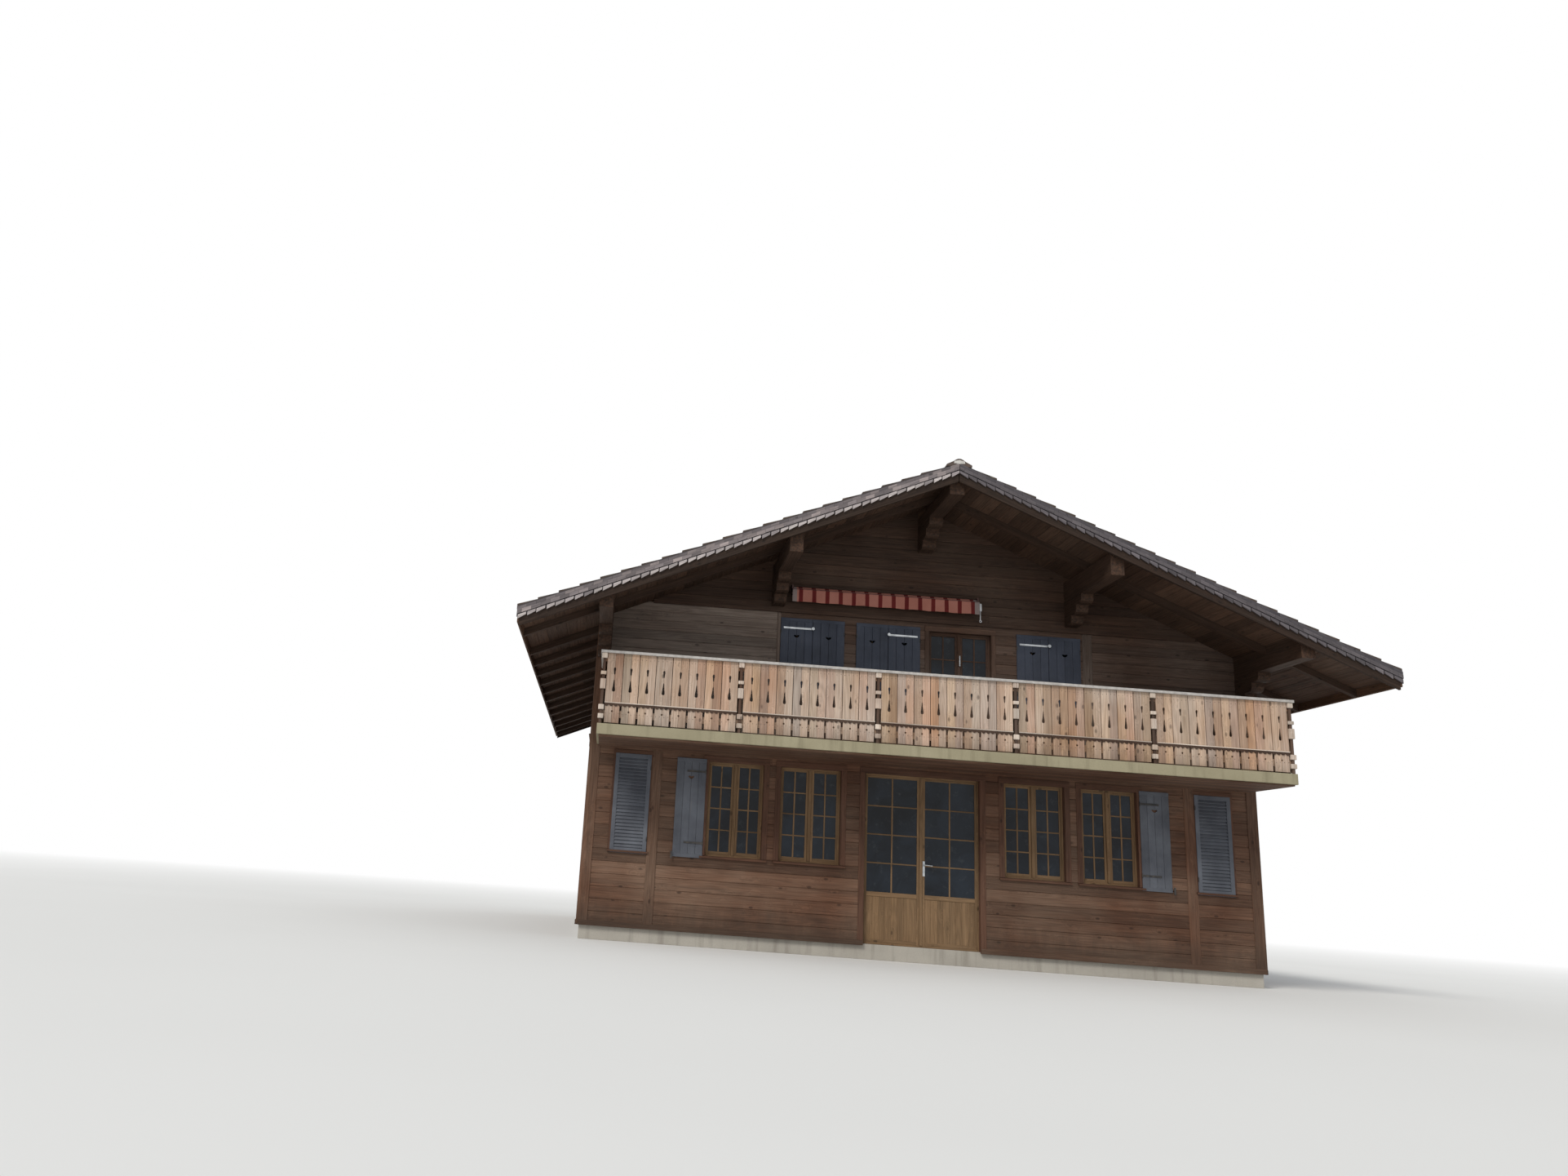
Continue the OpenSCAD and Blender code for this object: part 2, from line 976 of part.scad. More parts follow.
plinth();
front_wall_ground_piers();
front_wall_ground_aprons();
front_wall_ground_head();
left_wall_ground();
right_wall_ground();
back_wall_ground();
floor_slab();
belt_boards();
balcony_soffit();
front_wall_upper_piers();
front_wall_upper_aprons();
gable_front();
left_wall_upper();
right_wall_upper();
back_wall_upper();
ridge_purlin();
mid_purlins();
eave_purlins();
purlin_consoles();
rafters();
roof_deck_left();
roof_deck_right();
roof_covering_left();
roof_covering_right();
ridge_cap();
verge_trim();
barge_boards();
eaves_boards();
balcony_posts();
balcony_panel_front();
balcony_panels_sides();
balcony_lath();
balcony_rail_cap();
window_frames_front();
window_frames_sides_back();
glass_front();
glass_sides_back();
balcony_door();
balcony_door_handle();
shutters_front();
shutters_sides_back();
shutter_bars();
awning_roll();
awning_frame();
awning_valance();
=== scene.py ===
# Looks of an alpine chalet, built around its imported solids
# Metres, Z points up, the balcony and the boarded gable face the negative Y direction
import math
import random

import bmesh
import bpy
from mathutils import Matrix, Vector


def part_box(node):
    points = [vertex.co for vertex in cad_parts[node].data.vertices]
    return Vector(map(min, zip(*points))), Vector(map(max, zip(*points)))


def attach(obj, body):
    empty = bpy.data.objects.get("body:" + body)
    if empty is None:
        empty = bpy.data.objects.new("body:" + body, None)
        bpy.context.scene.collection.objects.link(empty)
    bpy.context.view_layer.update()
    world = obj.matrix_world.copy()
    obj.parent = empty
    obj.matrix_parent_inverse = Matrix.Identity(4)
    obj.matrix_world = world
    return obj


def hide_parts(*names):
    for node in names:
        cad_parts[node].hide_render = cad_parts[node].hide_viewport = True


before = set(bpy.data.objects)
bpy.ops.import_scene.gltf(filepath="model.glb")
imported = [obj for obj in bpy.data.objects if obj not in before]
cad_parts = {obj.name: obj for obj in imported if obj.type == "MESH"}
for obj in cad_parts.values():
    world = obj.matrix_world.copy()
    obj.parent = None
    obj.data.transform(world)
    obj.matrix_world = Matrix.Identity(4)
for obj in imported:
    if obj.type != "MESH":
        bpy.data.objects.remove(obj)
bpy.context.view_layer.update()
dice = random.Random(11)

RUN_X, RUN_Y, RUN_Z = Vector((1, 0, 0)), Vector((0, 1, 0)), Vector((0, 0, 1))

# places that the solids give
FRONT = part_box("front_wall_ground_head")[0].y
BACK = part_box("back_wall_ground")[1].y
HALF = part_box("front_wall_ground_head")[1].x
DEPTH = BACK - FRONT
SLAB_LOW, SLAB_TOP = (corner.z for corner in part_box("floor_slab"))
BALCONY_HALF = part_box("floor_slab")[1].x
BALCONY_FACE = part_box("floor_slab")[0].y
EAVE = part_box("roof_covering_right")[1].x
COVER_Y0, COVER_Y1 = (corner.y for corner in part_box("roof_covering_right"))
VERGE_Y0, VERGE_Y1 = (corner.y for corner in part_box("ridge_cap"))
ROOF_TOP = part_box("ridge_cap")[1].z

# the roof line, from which every depth of the roof is measured
RIDGE, SLOPE = 6.53, 0.4225
LINE_LENGTH = math.hypot(1, SLOPE)
DECK_LOW = 0.13
COURSE, COURSES, COURSE_STEP = 0.26, 21, 0.025
FIRST_COURSE = EAVE - COURSES * COURSE

# heights of the rooms' floor, the openings and the boards that end at them
FLOOR = 0.2
GROUND_SILL, GROUND_HEAD = 1.2, 2.49
UPPER_SILL, UPPER_HEAD = 3.6, 4.58
SIDE_SILL, SIDE_HEAD, SIDE_TOP = 3.25, 4.05, 4.36
GABLE_LOW = 4.72

# openings as left edge, right edge, sill and head
RIGHT_HALF = ((1.13, 1.98), (2.21, 2.99), (3.83, 4.25))
LEFT_HALF = tuple((-b, -a) for a, b in reversed(RIGHT_HALF))
FRONT_GROUND = [(a, b, GROUND_SILL, GROUND_HEAD) for a, b in LEFT_HALF + RIGHT_HALF]
FRONT_UPPER = [(a, b, UPPER_SILL, UPPER_HEAD) for a, b in ((-2.02, -1.18), (-0.93, -0.09), (1.38, 2.22))]
TERRACE_DOOR = (-0.8, 0.8, FLOOR, GROUND_HEAD)
BALCONY_DOOR = (0.08, 0.98, SLAB_TOP, UPPER_HEAD)


def window_row(middles, sill, head):
    """windows of one width about the given middles"""
    return [(c - 0.45, c + 0.45, sill, head) for c in middles]


SIDE_GROUND = window_row((2.7, 6.3), GROUND_SILL, GROUND_HEAD)
SIDE_UPPER = window_row((2.7, 6.3), SIDE_SILL, SIDE_HEAD)
BACK_GROUND = window_row((-2.6, 0, 2.6), GROUND_SILL, GROUND_HEAD)
BACK_UPPER = window_row((-1.6, 1.6), UPPER_SILL, UPPER_HEAD)

# purlins in the gables: both sides and the lower face
MID_PURLIN = (2.03, 2.21, 5.13)
RIDGE_PURLIN = (-0.1, 0.1, 6.09)


def roof_line(x):
    """height of the roof line at a distance from the ridge"""
    return RIDGE - SLOPE * abs(x)


def half_width(z):
    """how far the front and back walls reach to each side under the roof boarding at a height"""
    return min(HALF, (RIDGE - DECK_LOW - z) / SLOPE)


# colours

def tint(code):
    """a colour as it should look, from six hexadecimal digits, as the shader wants it"""
    parts = [int(code[i:i + 2], 16) / 255 for i in (0, 2, 4)]
    return tuple(p / 12.92 if p <= 0.04045 else ((p + 0.055) / 1.055) ** 2.4 for p in parts) + (1.0,)


class Finish:
    """a material in the making, with short calls for the nodes that the finishes share"""

    def __init__(self, name, rough=0.7, metallic=0.0, specular=0.35):
        self.mat = bpy.data.materials.new(name)
        self.mat.use_nodes = True
        self.tree = self.mat.node_tree
        self.shader = self.tree.nodes["Principled BSDF"]
        self.shader.inputs["Roughness"].default_value = rough
        self.shader.inputs["Metallic"].default_value = metallic
        self.shader.inputs["Specular IOR Level"].default_value = specular
        self.place = self.node("ShaderNodeTexCoord").outputs["Object"]

    def node(self, kind, **settings):
        """a new node with its settings"""
        made = self.tree.nodes.new(kind)
        for key, value in settings.items():
            setattr(made, key, value)
        return made

    def feed(self, socket, value):
        """links an output to a socket, or sets the socket to a value"""
        if isinstance(value, bpy.types.NodeSocket):
            self.tree.links.new(value, socket)
        else:
            socket.default_value = value

    def vector(self, operation, a, b=None, c=None, scale=None):
        made = self.node("ShaderNodeVectorMath", operation=operation)
        self.feed(made.inputs[0], a)
        if b is not None:
            self.feed(made.inputs[1], b)
        if c is not None:
            self.feed(made.inputs[2], c)
        if scale is not None:
            self.feed(made.inputs["Scale"], scale)
        return made.outputs["Value" if operation in ("DOT_PRODUCT", "LENGTH") else "Vector"]

    def math(self, operation, a, b=0.0, c=0.0):
        made = self.node("ShaderNodeMath", operation=operation)
        for socket, value in zip(made.inputs, (a, b, c)):
            self.feed(socket, value)
        return made.outputs[0]

    def axis(self, which):
        """one coordinate of the building: 0 across, 1 into the depth, 2 the height"""
        made = self.node("ShaderNodeSeparateXYZ")
        self.feed(made.inputs[0], self.place)
        return made.outputs[which]

    def stretch(self, scale):
        """places in the building, scaled on each of the three axes"""
        made = self.node("ShaderNodeMapping")
        self.feed(made.inputs["Vector"], self.place)
        made.inputs["Scale"].default_value = scale
        return made.outputs[0]

    def noise(self, at, scale=1.0, detail=4.0, rough=0.55, distortion=0.0):
        made = self.node("ShaderNodeTexNoise")
        self.feed(made.inputs["Vector"], at)
        made.inputs["Scale"].default_value = scale
        made.inputs["Detail"].default_value = detail
        made.inputs["Roughness"].default_value = rough
        made.inputs["Distortion"].default_value = distortion
        return made.outputs["Fac"]

    def cells(self, at):
        """distance from the nearest of scattered points"""
        made = self.node("ShaderNodeTexVoronoi", feature="F1")
        self.feed(made.inputs["Vector"], at)
        made.inputs["Scale"].default_value = 1.0
        return made.outputs["Distance"]

    def ramp(self, factor, stops):
        """colours at given places between 0 and 1, blended between them"""
        made = self.node("ShaderNodeValToRGB")
        while len(made.color_ramp.elements) < len(stops):
            made.color_ramp.elements.new(0.5)
        for element, (position, colour) in zip(made.color_ramp.elements, stops):
            element.position = position
            element.color = colour if isinstance(colour, tuple) else (colour, colour, colour, 1)
        self.feed(made.inputs[0], factor)
        return made.outputs["Color"]

    def level(self, factor, low, high, to_low=0.0, to_high=1.0):
        """moves the range from low to high onto another range, and stops at its ends"""
        made = self.node("ShaderNodeMapRange")
        for socket, value in zip(made.inputs, (factor, low, high, to_low, to_high)):
            self.feed(socket, value)
        return made.outputs[0]

    def mix(self, factor, a, b, blend="MIX"):
        made = self.node("ShaderNodeMix", data_type="RGBA", blend_type=blend)
        self.feed(made.inputs[0], factor)
        self.feed(made.inputs[6], a)
        self.feed(made.inputs[7], b)
        return made.outputs[2]

    def brightness(self, colour, value):
        made = self.node("ShaderNodeHueSaturation")
        self.feed(made.inputs["Color"], colour)
        self.feed(made.inputs["Value"], value)
        return made.outputs[0]

    def attribute(self, name, output="Fac"):
        return self.node("ShaderNodeAttribute", attribute_name=name).outputs[output]

    def bump(self, height, strength=0.4, distance=0.003):
        made = self.node("ShaderNodeBump")
        made.inputs["Strength"].default_value = strength
        made.inputs["Distance"].default_value = distance
        self.feed(made.inputs["Height"], height)
        self.feed(self.shader.inputs["Normal"], made.outputs[0])

    def colour(self, value):
        self.feed(self.shader.inputs["Base Color"], value)

    def roughness(self, value):
        self.feed(self.shader.inputs["Roughness"], value)


# how closely the yearly rings lie, and where a board's own tone moves its pattern
RING_COUNT = 95.0
BOARD_SHIFT = (1.0, 1.7, 2.3)


def fibre_places(f, at, run, tone):
    """gives a call for places of their own on each board, scaled by one number along the fibres and by
    another across them"""
    along = f.vector("SCALE", run, scale=f.vector("DOT_PRODUCT", at, run))
    across = f.vector("SUBTRACT", at, along)
    shifted = f.vector("SCALE", BOARD_SHIFT, scale=f.math("MULTIPLY", tone, 40.0))

    def place(lengthwise, crosswise):
        return f.vector("ADD", f.vector("MULTIPLY_ADD", along, (lengthwise,) * 3, shifted),
                        f.vector("SCALE", across, scale=crosswise))
    return place


def weathering(f, fibre, wear, low_wear):
    """how far a place has bleached: by its board, in patches, low on the wall and in the soft fibres"""
    patch = f.noise(f.place, scale=0.9, detail=3)
    worn = f.math("ADD", f.attribute("wear"), f.level(patch, 0.35, 0.75, 0.0, wear))
    if low_wear:
        exposed = f.level(f.axis(2), 4.2, 0.8, 0.0, low_wear)
        worn = f.math("ADD", worn, f.math("MULTIPLY", exposed, f.level(patch, 0.3, 0.6)))
    worn = f.math("MULTIPLY", worn, f.level(fibre, 0.3, 0.6, 0.55, 1.1))
    return f.math("MINIMUM", worn, 0.95)


def rings_and_knots(f, place, fine, from_knot, bend):
    """brightness of the yearly rings, which bend round dark knots"""
    ring_at = f.vector("ADD", place(0.45, fine * 0.11), bend)
    rings = f.math("SINE", f.math("MULTIPLY", f.noise(ring_at, detail=1, rough=0.4), RING_COUNT))
    bright = f.level(rings, -1.0, 1.0, 0.87, 1.06)
    return f.math("MULTIPLY", bright, f.level(from_knot, 0.07, 0.13, 0.5, 1.0))


def splashed(f, colour, foot):
    """soil that the rain throws up over the foot of a wall or a balcony"""
    soil = f.noise(f.stretch((6.0, 6.0, 1.5)), detail=5, rough=0.7)
    height = f.math("ADD", f.axis(2), f.level(soil, 0.3, 0.7, 0.12, -0.12))
    return f.mix(f.level(height, foot + 0.28, foot, 0.0, 0.5), colour, tint("3b3129"))


def sawn_ends(f, colour, run, dark, light):
    """rough end grain on the faces that the fibres run into"""
    facing = f.vector("DOT_PRODUCT", f.node("ShaderNodeNewGeometry").outputs["True Normal"], run)
    end_grain = f.noise(f.place, scale=30.0, detail=4, rough=0.7)
    end_colour = f.ramp(end_grain, [(0.35, tint(dark)), (0.7, tint(light))])
    return f.mix(f.math("GREATER_THAN", f.math("ABSOLUTE", facing), 0.9), colour, end_colour)


def wood(name, dark, light, pale, run=None, wear=0.25, fine=60.0, ends=None, spread=0.28, hues=(),
         low_wear=0.0, splash=None):
    """timber with its fibres along each board, or along run on a solid, paler where sun and rain reach it;
    low_wear bleaches what the eaves don't shelter, and splash is the height that is soiled from below"""
    f = Finish(name, specular=0.25)
    if run is None:
        at, run = f.place, f.attribute("run", "Vector")
    else:
        at = f.vector("ABSOLUTE", f.place)
    tone = f.attribute("tone")
    place = fibre_places(f, at, run, tone)
    from_knot = f.cells(place(3.4, 6.5))
    bend = f.level(from_knot, 0.08, 0.4, 0.5, 0.0)
    fibre = f.noise(place(1.6, fine), detail=5, rough=0.65)
    figure = f.noise(f.vector("ADD", place(0.7, fine * 0.22), bend), detail=3, rough=0.5, distortion=0.6)
    grain = f.math("ADD", f.math("MULTIPLY", fibre, 0.55), f.math("MULTIPLY", figure, 0.45))
    colour = f.ramp(grain, [(0.3, tint(dark)), (0.72, tint(light))])
    if hues:
        pick = f.math("FRACT", f.math("MULTIPLY", tone, 7.31))
        shades = f.ramp(pick, [(i / (len(hues) - 1), tint(hue)) for i, hue in enumerate(hues)])
        colour = f.mix(0.8, colour, shades, "MULTIPLY")
    colour = f.mix(weathering(f, fibre, wear, low_wear), colour, tint(pale))
    figured = rings_and_knots(f, place, fine, from_knot, bend)
    shade = f.math("MULTIPLY", figured, f.level(tone, 0.0, 1.0, 1.0 - spread, 1.0 + spread))
    colour = f.brightness(colour, shade)
    if splash:
        colour = splashed(f, colour, splash)
    if ends:
        colour = sawn_ends(f, colour, run, ends, light)
    f.colour(colour)
    f.roughness(f.level(fibre, 0.3, 0.7, 0.85, 0.62))
    f.bump(grain, 0.45, 0.004)
    return f.mat


def concrete(name, base, stain, light):
    """cast and painted concrete with fine pores and streaks of rain"""
    f = Finish(name, rough=0.88, specular=0.2)
    fine = f.noise(f.place, scale=45.0, detail=6, rough=0.7)
    cloud = f.noise(f.place, scale=1.6, detail=4)
    streak = f.noise(f.stretch((9.0, 9.0, 0.8)), detail=4, rough=0.6)
    colour = f.mix(f.level(cloud, 0.3, 0.7), tint(base), tint(light))
    colour = f.mix(f.level(streak, 0.52, 0.75, 0.0, 0.55), colour, tint(stain))
    colour = f.mix(f.level(fine, 0.3, 0.7, 0.0, 0.18), colour, tint(stain))
    f.colour(colour)
    f.bump(fine, 0.35, 0.002)
    return f.mat


def roof_tiles(name, base, warm, lichen):
    """fired and weathered tiles, each a little different, with lichen and dark rain marks"""
    f = Finish(name, rough=0.82, specular=0.3)
    grit = f.noise(f.place, scale=120.0, detail=3)
    cloud = f.noise(f.place, scale=2.2, detail=5, rough=0.65)
    spots = f.noise(f.place, scale=17.0, detail=5, rough=0.75)
    colour = f.mix(f.level(cloud, 0.35, 0.7), tint(base), tint(warm))
    colour = f.mix(f.level(spots, 0.6, 0.72, 0.0, 0.7), colour, tint(lichen))
    damp = f.noise(f.place, scale=0.55, detail=6, rough=0.7)
    moss = f.math("MULTIPLY", f.level(damp, 0.5, 0.66), f.level(spots, 0.42, 0.6, 0.0, 0.6))
    colour = f.mix(moss, colour, tint("4d4f38"))
    colour = f.mix(f.level(grit, 0.35, 0.65, 0.0, 0.15), colour, tint("2c2826"))
    colour = f.brightness(colour, f.level(f.attribute("tone"), 0.0, 1.0, 0.72, 1.28))
    f.colour(colour)
    f.bump(f.math("ADD", grit, spots), 0.4, 0.003)
    return f.mat


def paint(name, base, faded, bare):
    """old paint on boards, chalky and thin along the fibres"""
    f = Finish(name, rough=0.62, specular=0.35)
    tone = f.attribute("tone")
    place = fibre_places(f, f.place, f.attribute("run", "Vector"), tone)
    fibre = f.noise(place(2.5, 70.0), detail=5, rough=0.65)
    patch = f.noise(f.place, scale=2.4, detail=4)
    colour = f.mix(f.level(patch, 0.35, 0.7), tint(base), tint(faded))
    worn = f.math("MULTIPLY", f.level(fibre, 0.6, 0.74), f.level(patch, 0.45, 0.7, 0.0, 0.35))
    colour = f.mix(worn, colour, tint(bare))
    f.colour(f.brightness(colour, f.level(tone, 0.0, 1.0, 0.88, 1.12)))
    f.roughness(f.level(fibre, 0.3, 0.7, 0.7, 0.5))
    f.bump(fibre, 0.3, 0.002)
    return f.mat


def metal(name, base, dull, rough, metallic, painted=None, bare_from=0.0):
    """weathered metal with a cloudy skin; where a paint is given, it ends at a place across the building"""
    f = Finish(name, rough=rough, metallic=metallic, specular=0.5)
    cloud = f.noise(f.place, scale=14.0, detail=5, rough=0.6)
    scratch = f.noise(f.stretch((4.0, 90.0, 90.0)), detail=3)
    colour = f.mix(f.level(cloud, 0.35, 0.7), tint(base), tint(dull))
    if painted:
        colour = f.mix(f.math("LESS_THAN", f.axis(0), bare_from), colour, tint(painted))
    f.colour(colour)
    f.roughness(f.level(scratch, 0.3, 0.7, rough - 0.08, rough + 0.12))
    f.bump(cloud, 0.12, 0.001)
    return f.mat


def glass(name):
    """panes in front of dark rooms, painted dark for the shade of the unlit rooms behind them, bluish and a
    little uneven, with dust in the corners
    """
    f = Finish(name, rough=0.04, specular=0.22)
    haze = f.noise(f.place, scale=1.8, detail=4, distortion=0.8)
    dust = f.noise(f.place, scale=9.0, detail=5, rough=0.7)
    colour = f.mix(f.level(haze, 0.35, 0.68), tint("0e1218"), tint("222a34"))
    f.colour(f.mix(f.level(dust, 0.58, 0.8, 0.0, 0.25), colour, tint("6a6f70")))
    f.roughness(f.level(dust, 0.4, 0.8, 0.02, 0.16))
    f.bump(f.noise(f.place, scale=1.6, detail=0), 0.05, 0.02)
    return f.mat


# from one dark stripe to the next, the width of each, where the first one starts, and the plain edges of
# the cloth
STRIPE_PITCH, DARK_STRIPE, STRIPE_START = 0.19, 0.058, -1.845
PALE_EDGES = (-1.872, 0.68)


def awning_cloth(name):
    """woven cloth in wide salmon and narrow dark red stripes"""
    f = Finish(name, rough=0.85, specular=0.2)
    x = f.axis(0)
    step = f.math("WRAP", f.math("SUBTRACT", x, STRIPE_START), STRIPE_PITCH, 0.0)
    is_dark = f.math("LESS_THAN", step, DARK_STRIPE)
    fade = f.noise(f.place, scale=3.0, detail=3)
    pale = f.mix(f.level(fade, 0.3, 0.7), tint("ab6e5f"), tint("b67b6d"))
    dark = f.mix(f.level(fade, 0.3, 0.7), tint("5f1d1d"), tint("702926"))
    weave = f.noise(f.stretch((600.0, 600.0, 600.0)), detail=2)
    colour = f.mix(is_dark, pale, dark)
    at_edge = f.math("ADD", f.math("LESS_THAN", x, PALE_EDGES[0]), f.math("GREATER_THAN", x, PALE_EDGES[1]))
    colour = f.mix(at_edge, colour, tint("91827e"))
    f.colour(f.brightness(colour, f.level(weave, 0.3, 0.7, 0.9, 1.1)))
    f.bump(weave, 0.3, 0.0006)
    return f.mat


BOARD_HUES = ("d9d2da", "ffd9bb", "f2ecd6", "ffe2c8", "cfd0c6")
WALL = wood("wall_boards", "3f2a1f", "6b4936", "85705f", wear=0.3, low_wear=0.25, splash=0.3)
UPPER = wood("upper_boards", "3a2a22", "634838", "8c7f75", wear=0.3, low_wear=0.15)
GABLE = wood("gable_boards", "33251e", "553d2f", "6f6155", wear=0.3)
TIMBER = wood("roof_timber", "33251d", "583f30", "6d5d50", wear=0.3)
SAWN = wood("sawn_boards", "876d59", "ccaf97", "d0c3b6", wear=0.5, spread=0.2, hues=BOARD_HUES,
            splash=SLAB_TOP - 0.12)
CASING = wood("casing_boards", "3f2a20", "674635", "80695a", wear=0.2, spread=0.14)
OAK = wood("oak_joinery", "5c4732", "8f7050", "9c866a", wear=0.3, spread=0.14)
# the ways that the fibres of whole solids run
ACROSS, LENGTHWISE, DOWN_ROOF = (1, 0, 0), (0, 1, 0), (0.9212, 0, -0.3892)
INNER_X = wood("wall_timber_across", "4a3527", "775640", "877360", run=ACROSS)
INNER_Y = wood("wall_timber_lengthwise", "4a3527", "775640", "877360", run=LENGTHWISE)
PURLIN = wood("purlin_timber", "33251d", "583f30", "6d5d50", run=LENGTHWISE, ends="2c211a")
RAFTER = wood("rafter_timber", "33251d", "583f30", "6d5d50", run=DOWN_ROOF)
BARGE = wood("barge_timber", "271c16", "443125", "53473c", run=DOWN_ROOF)
DECK = wood("roof_boarding_timber", "3a2a20", "634735", "75655a", run=LENGTHWISE)
SLAB = concrete("balcony_concrete", "9b937a", "726b56", "aaa288")
MORTAR = concrete("ridge_mortar", "c9c6c0", "9c978f", "dad7d2")
BASE = concrete("plinth_plaster", "a5a097", "7c766c", "b7b2a8")
TILES = roof_tiles("roof_tiles", "554c48", "6b5a50", "8d8b78")
SHINGLES = wood("verge_shingles", "444146", "6a6569", "b0a3a0", wear=0.05, fine=45.0)
# the teeth's own pale wood, used only on the left slope, where it also paints sunlight
SUNLIT_PALE_SHINGLES = wood("sunlit_pale_verge_shingles", "7d7678", "aca3a3", "cfc6c2", wear=0.2, fine=45.0, spread=0.2)
BLUE = paint("shutter_paint", "353a47", "474d5b", "665c54")
GREY = paint("ground_shutter_paint", "4d5058", "666a72", "7a6a5a")
BRIGHT = metal("bright_metal", "c9cccf", "a3a7aa", 0.35, 0.9)
IRON = metal("dark_iron", "3a3a3c", "57534f", 0.5, 0.8)
PALE_METAL = metal("awning_arm_metal", "b7b9bb", "98999b", 0.42, 0.6)
FRAME_METAL = metal("awning_metal", "c6c7c9", "a7a8aa", 0.42, 0.3, painted="4b302b", bare_from=0.7501)
CAP = metal("rail_cap_metal", "c2beb9", "a19d99", 0.55, 0.2)
GLASS = glass("window_glass")
CLOTH = awning_cloth("awning_stripes")


# mesh helpers

# points that a lot may hold before it is added to the whole
LOT = 600


def layered():
    """an empty mesh whose faces have a tone, a wear and the run of their fibres"""
    bm = bmesh.new()
    bm.faces.layers.float.new("tone")
    bm.faces.layers.float.new("wear")
    bm.faces.layers.float_vector.new("run")
    return bm


class Shape:
    """a mesh in the making, filled in small lots because an operator slows down with the mesh it works on"""

    def __init__(self):
        self.whole, self.lot = layered(), layered()

    def room(self):
        if len(self.lot.verts) > LOT:
            self.gather()
        return self.lot

    def gather(self):
        mesh = bpy.data.meshes.new("lot")
        self.lot.to_mesh(mesh)
        self.lot.free()
        self.whole.from_mesh(mesh)
        bpy.data.meshes.remove(mesh)
        self.lot = layered()
        return self.whole


def mark(bm, verts, run, wear=0.0, tone=None):
    """gives all faces of a board one tone of its own and the way its fibres run"""
    layers = bm.faces.layers
    tone = dice.random() if tone is None else tone
    for face in {f for v in verts for f in v.link_faces}:
        face[layers.float["tone"]] = tone
        face[layers.float["wear"]] = wear
        face[layers.float_vector["run"]] = run
    return verts


def block(shape, low, high, run, wear=0.0):
    """a straight board or timber between two corners"""
    bm = shape.room()
    low, high = Vector(low), Vector(high)
    size = Vector([abs(b - a) for a, b in zip(low, high)])
    matrix = Matrix.LocRotScale((low + high) / 2, None, size)
    made = bmesh.ops.create_cube(bm, size=1, matrix=matrix)
    return mark(bm, made["verts"], run, wear)


def prism(shape, outline, path, run, wear=0.0, tone=None):
    """a flat outline of 3-D points, drawn out along the path vector"""
    bm = shape.room()
    verts = [bm.verts.new(p) for p in outline]
    face = bm.faces.new(verts)
    drawn = bmesh.ops.extrude_face_region(bm, geom=[face])["geom"]
    moved = [g for g in drawn if isinstance(g, bmesh.types.BMVert)]
    bmesh.ops.translate(bm, vec=path, verts=moved)
    faces = list({f for v in verts + moved for f in v.link_faces})
    bmesh.ops.recalc_face_normals(bm, faces=faces)
    return mark(bm, verts + moved, run, wear, tone)


def rod(shape, start, end, radius, sides=10, run=RUN_X):
    """a round bar between two points"""
    bm = shape.room()
    start, end = Vector(start), Vector(end)
    turn = (end - start).to_track_quat("Z", "Y")
    matrix = Matrix.LocRotScale((start + end) / 2, turn, None)
    made = bmesh.ops.create_cone(
        bm, cap_ends=True, segments=sides, radius1=radius, radius2=radius,
        depth=(end - start).length, matrix=matrix)
    return mark(bm, made["verts"], run)


def bevel(bm, edges, width, segments=1):
    """takes the given edges off by a width"""
    bmesh.ops.bevel(bm, geom=edges, offset=width, offset_type="OFFSET", segments=segments,
                    profile=0.5, affect="EDGES", material=-1, clamp_overlap=True)


def ease(shape, width, all_edges=False, segments=1):
    """takes the sharpness off the long edges of every board"""
    bm = shape.gather()
    run = bm.faces.layers.float_vector["run"]
    edges = []
    for edge in bm.edges:
        way = (edge.verts[1].co - edge.verts[0].co).normalized()
        if all_edges or abs(way.dot(edge.link_faces[0][run])) > 0.99:
            edges.append(edge)
    bevel(bm, edges, width, segments)


def in_scene(name, data):
    """a new object in the scene, left at the origin"""
    made = bpy.data.objects.new(name, data)
    bpy.context.scene.collection.objects.link(made)
    return made


def hand_over(bm, name, material, stands_for=()):
    """makes a finished mesh a named piece of the building"""
    mesh = bpy.data.meshes.new(name)
    bm.to_mesh(mesh)
    bm.free()
    mesh.materials.append(material)
    made = in_scene(name, mesh)
    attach(made, "root")
    if stands_for:
        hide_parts(*stands_for)
    return made


def piece(shape, name, material, stands_for=()):
    """gathers the lots of a shape and hands it over"""
    hand_over(shape.gather(), name, material, stands_for)


class Wall:
    """one face of the building: a runs along it, depth goes into it, and z is the height"""

    def __init__(self, start, along, out):
        self.start, self.along, self.out = Vector(start), along, out

    def point(self, a, depth, z):
        return self.start + self.along * a - self.out * depth + Vector((0, 0, z))

    def block(self, shape, a, depth, z, run, wear=0.0):
        low, high = self.point(a[0], depth[0], z[0]), self.point(a[1], depth[1], z[1])
        return block(shape, low, high, run, wear)

    def shed(self, verts, above, drop):
        """lowers the outer upper edge of a board, so that the rain runs off"""
        for v in verts:
            if v.co.z > above and (v.co - self.start).dot(self.out) > 0.01:
                v.co.z -= drop


FRONT_WALL = Wall((0, FRONT, 0), RUN_X, -RUN_Y)
BACK_WALL = Wall((0, BACK, 0), RUN_X, RUN_Y)
RIGHT_WALL = Wall((HALF, FRONT, 0), RUN_Y, RUN_X)
LEFT_WALL = Wall((-HALF, FRONT, 0), RUN_Y, -RUN_X)


# boards on the walls

# heights of the boards on the ground storey and the gables, and on the upper storey, and about how long
# the longest are
WIDE_BOARD, NARROW_BOARD, LONGEST_BOARD = 0.16, 0.15, 4.2
# thickness of a board, how much it varies, half the gap at an end, and the width taken off the edges
BOARD_THICK, BOARD_UNEVEN, END_JOINT, BOARD_EASE = 0.012, 0.0015, 0.0007, 0.008
CORNER_WIDE, CORNER_PROUD = 0.13, 0.018


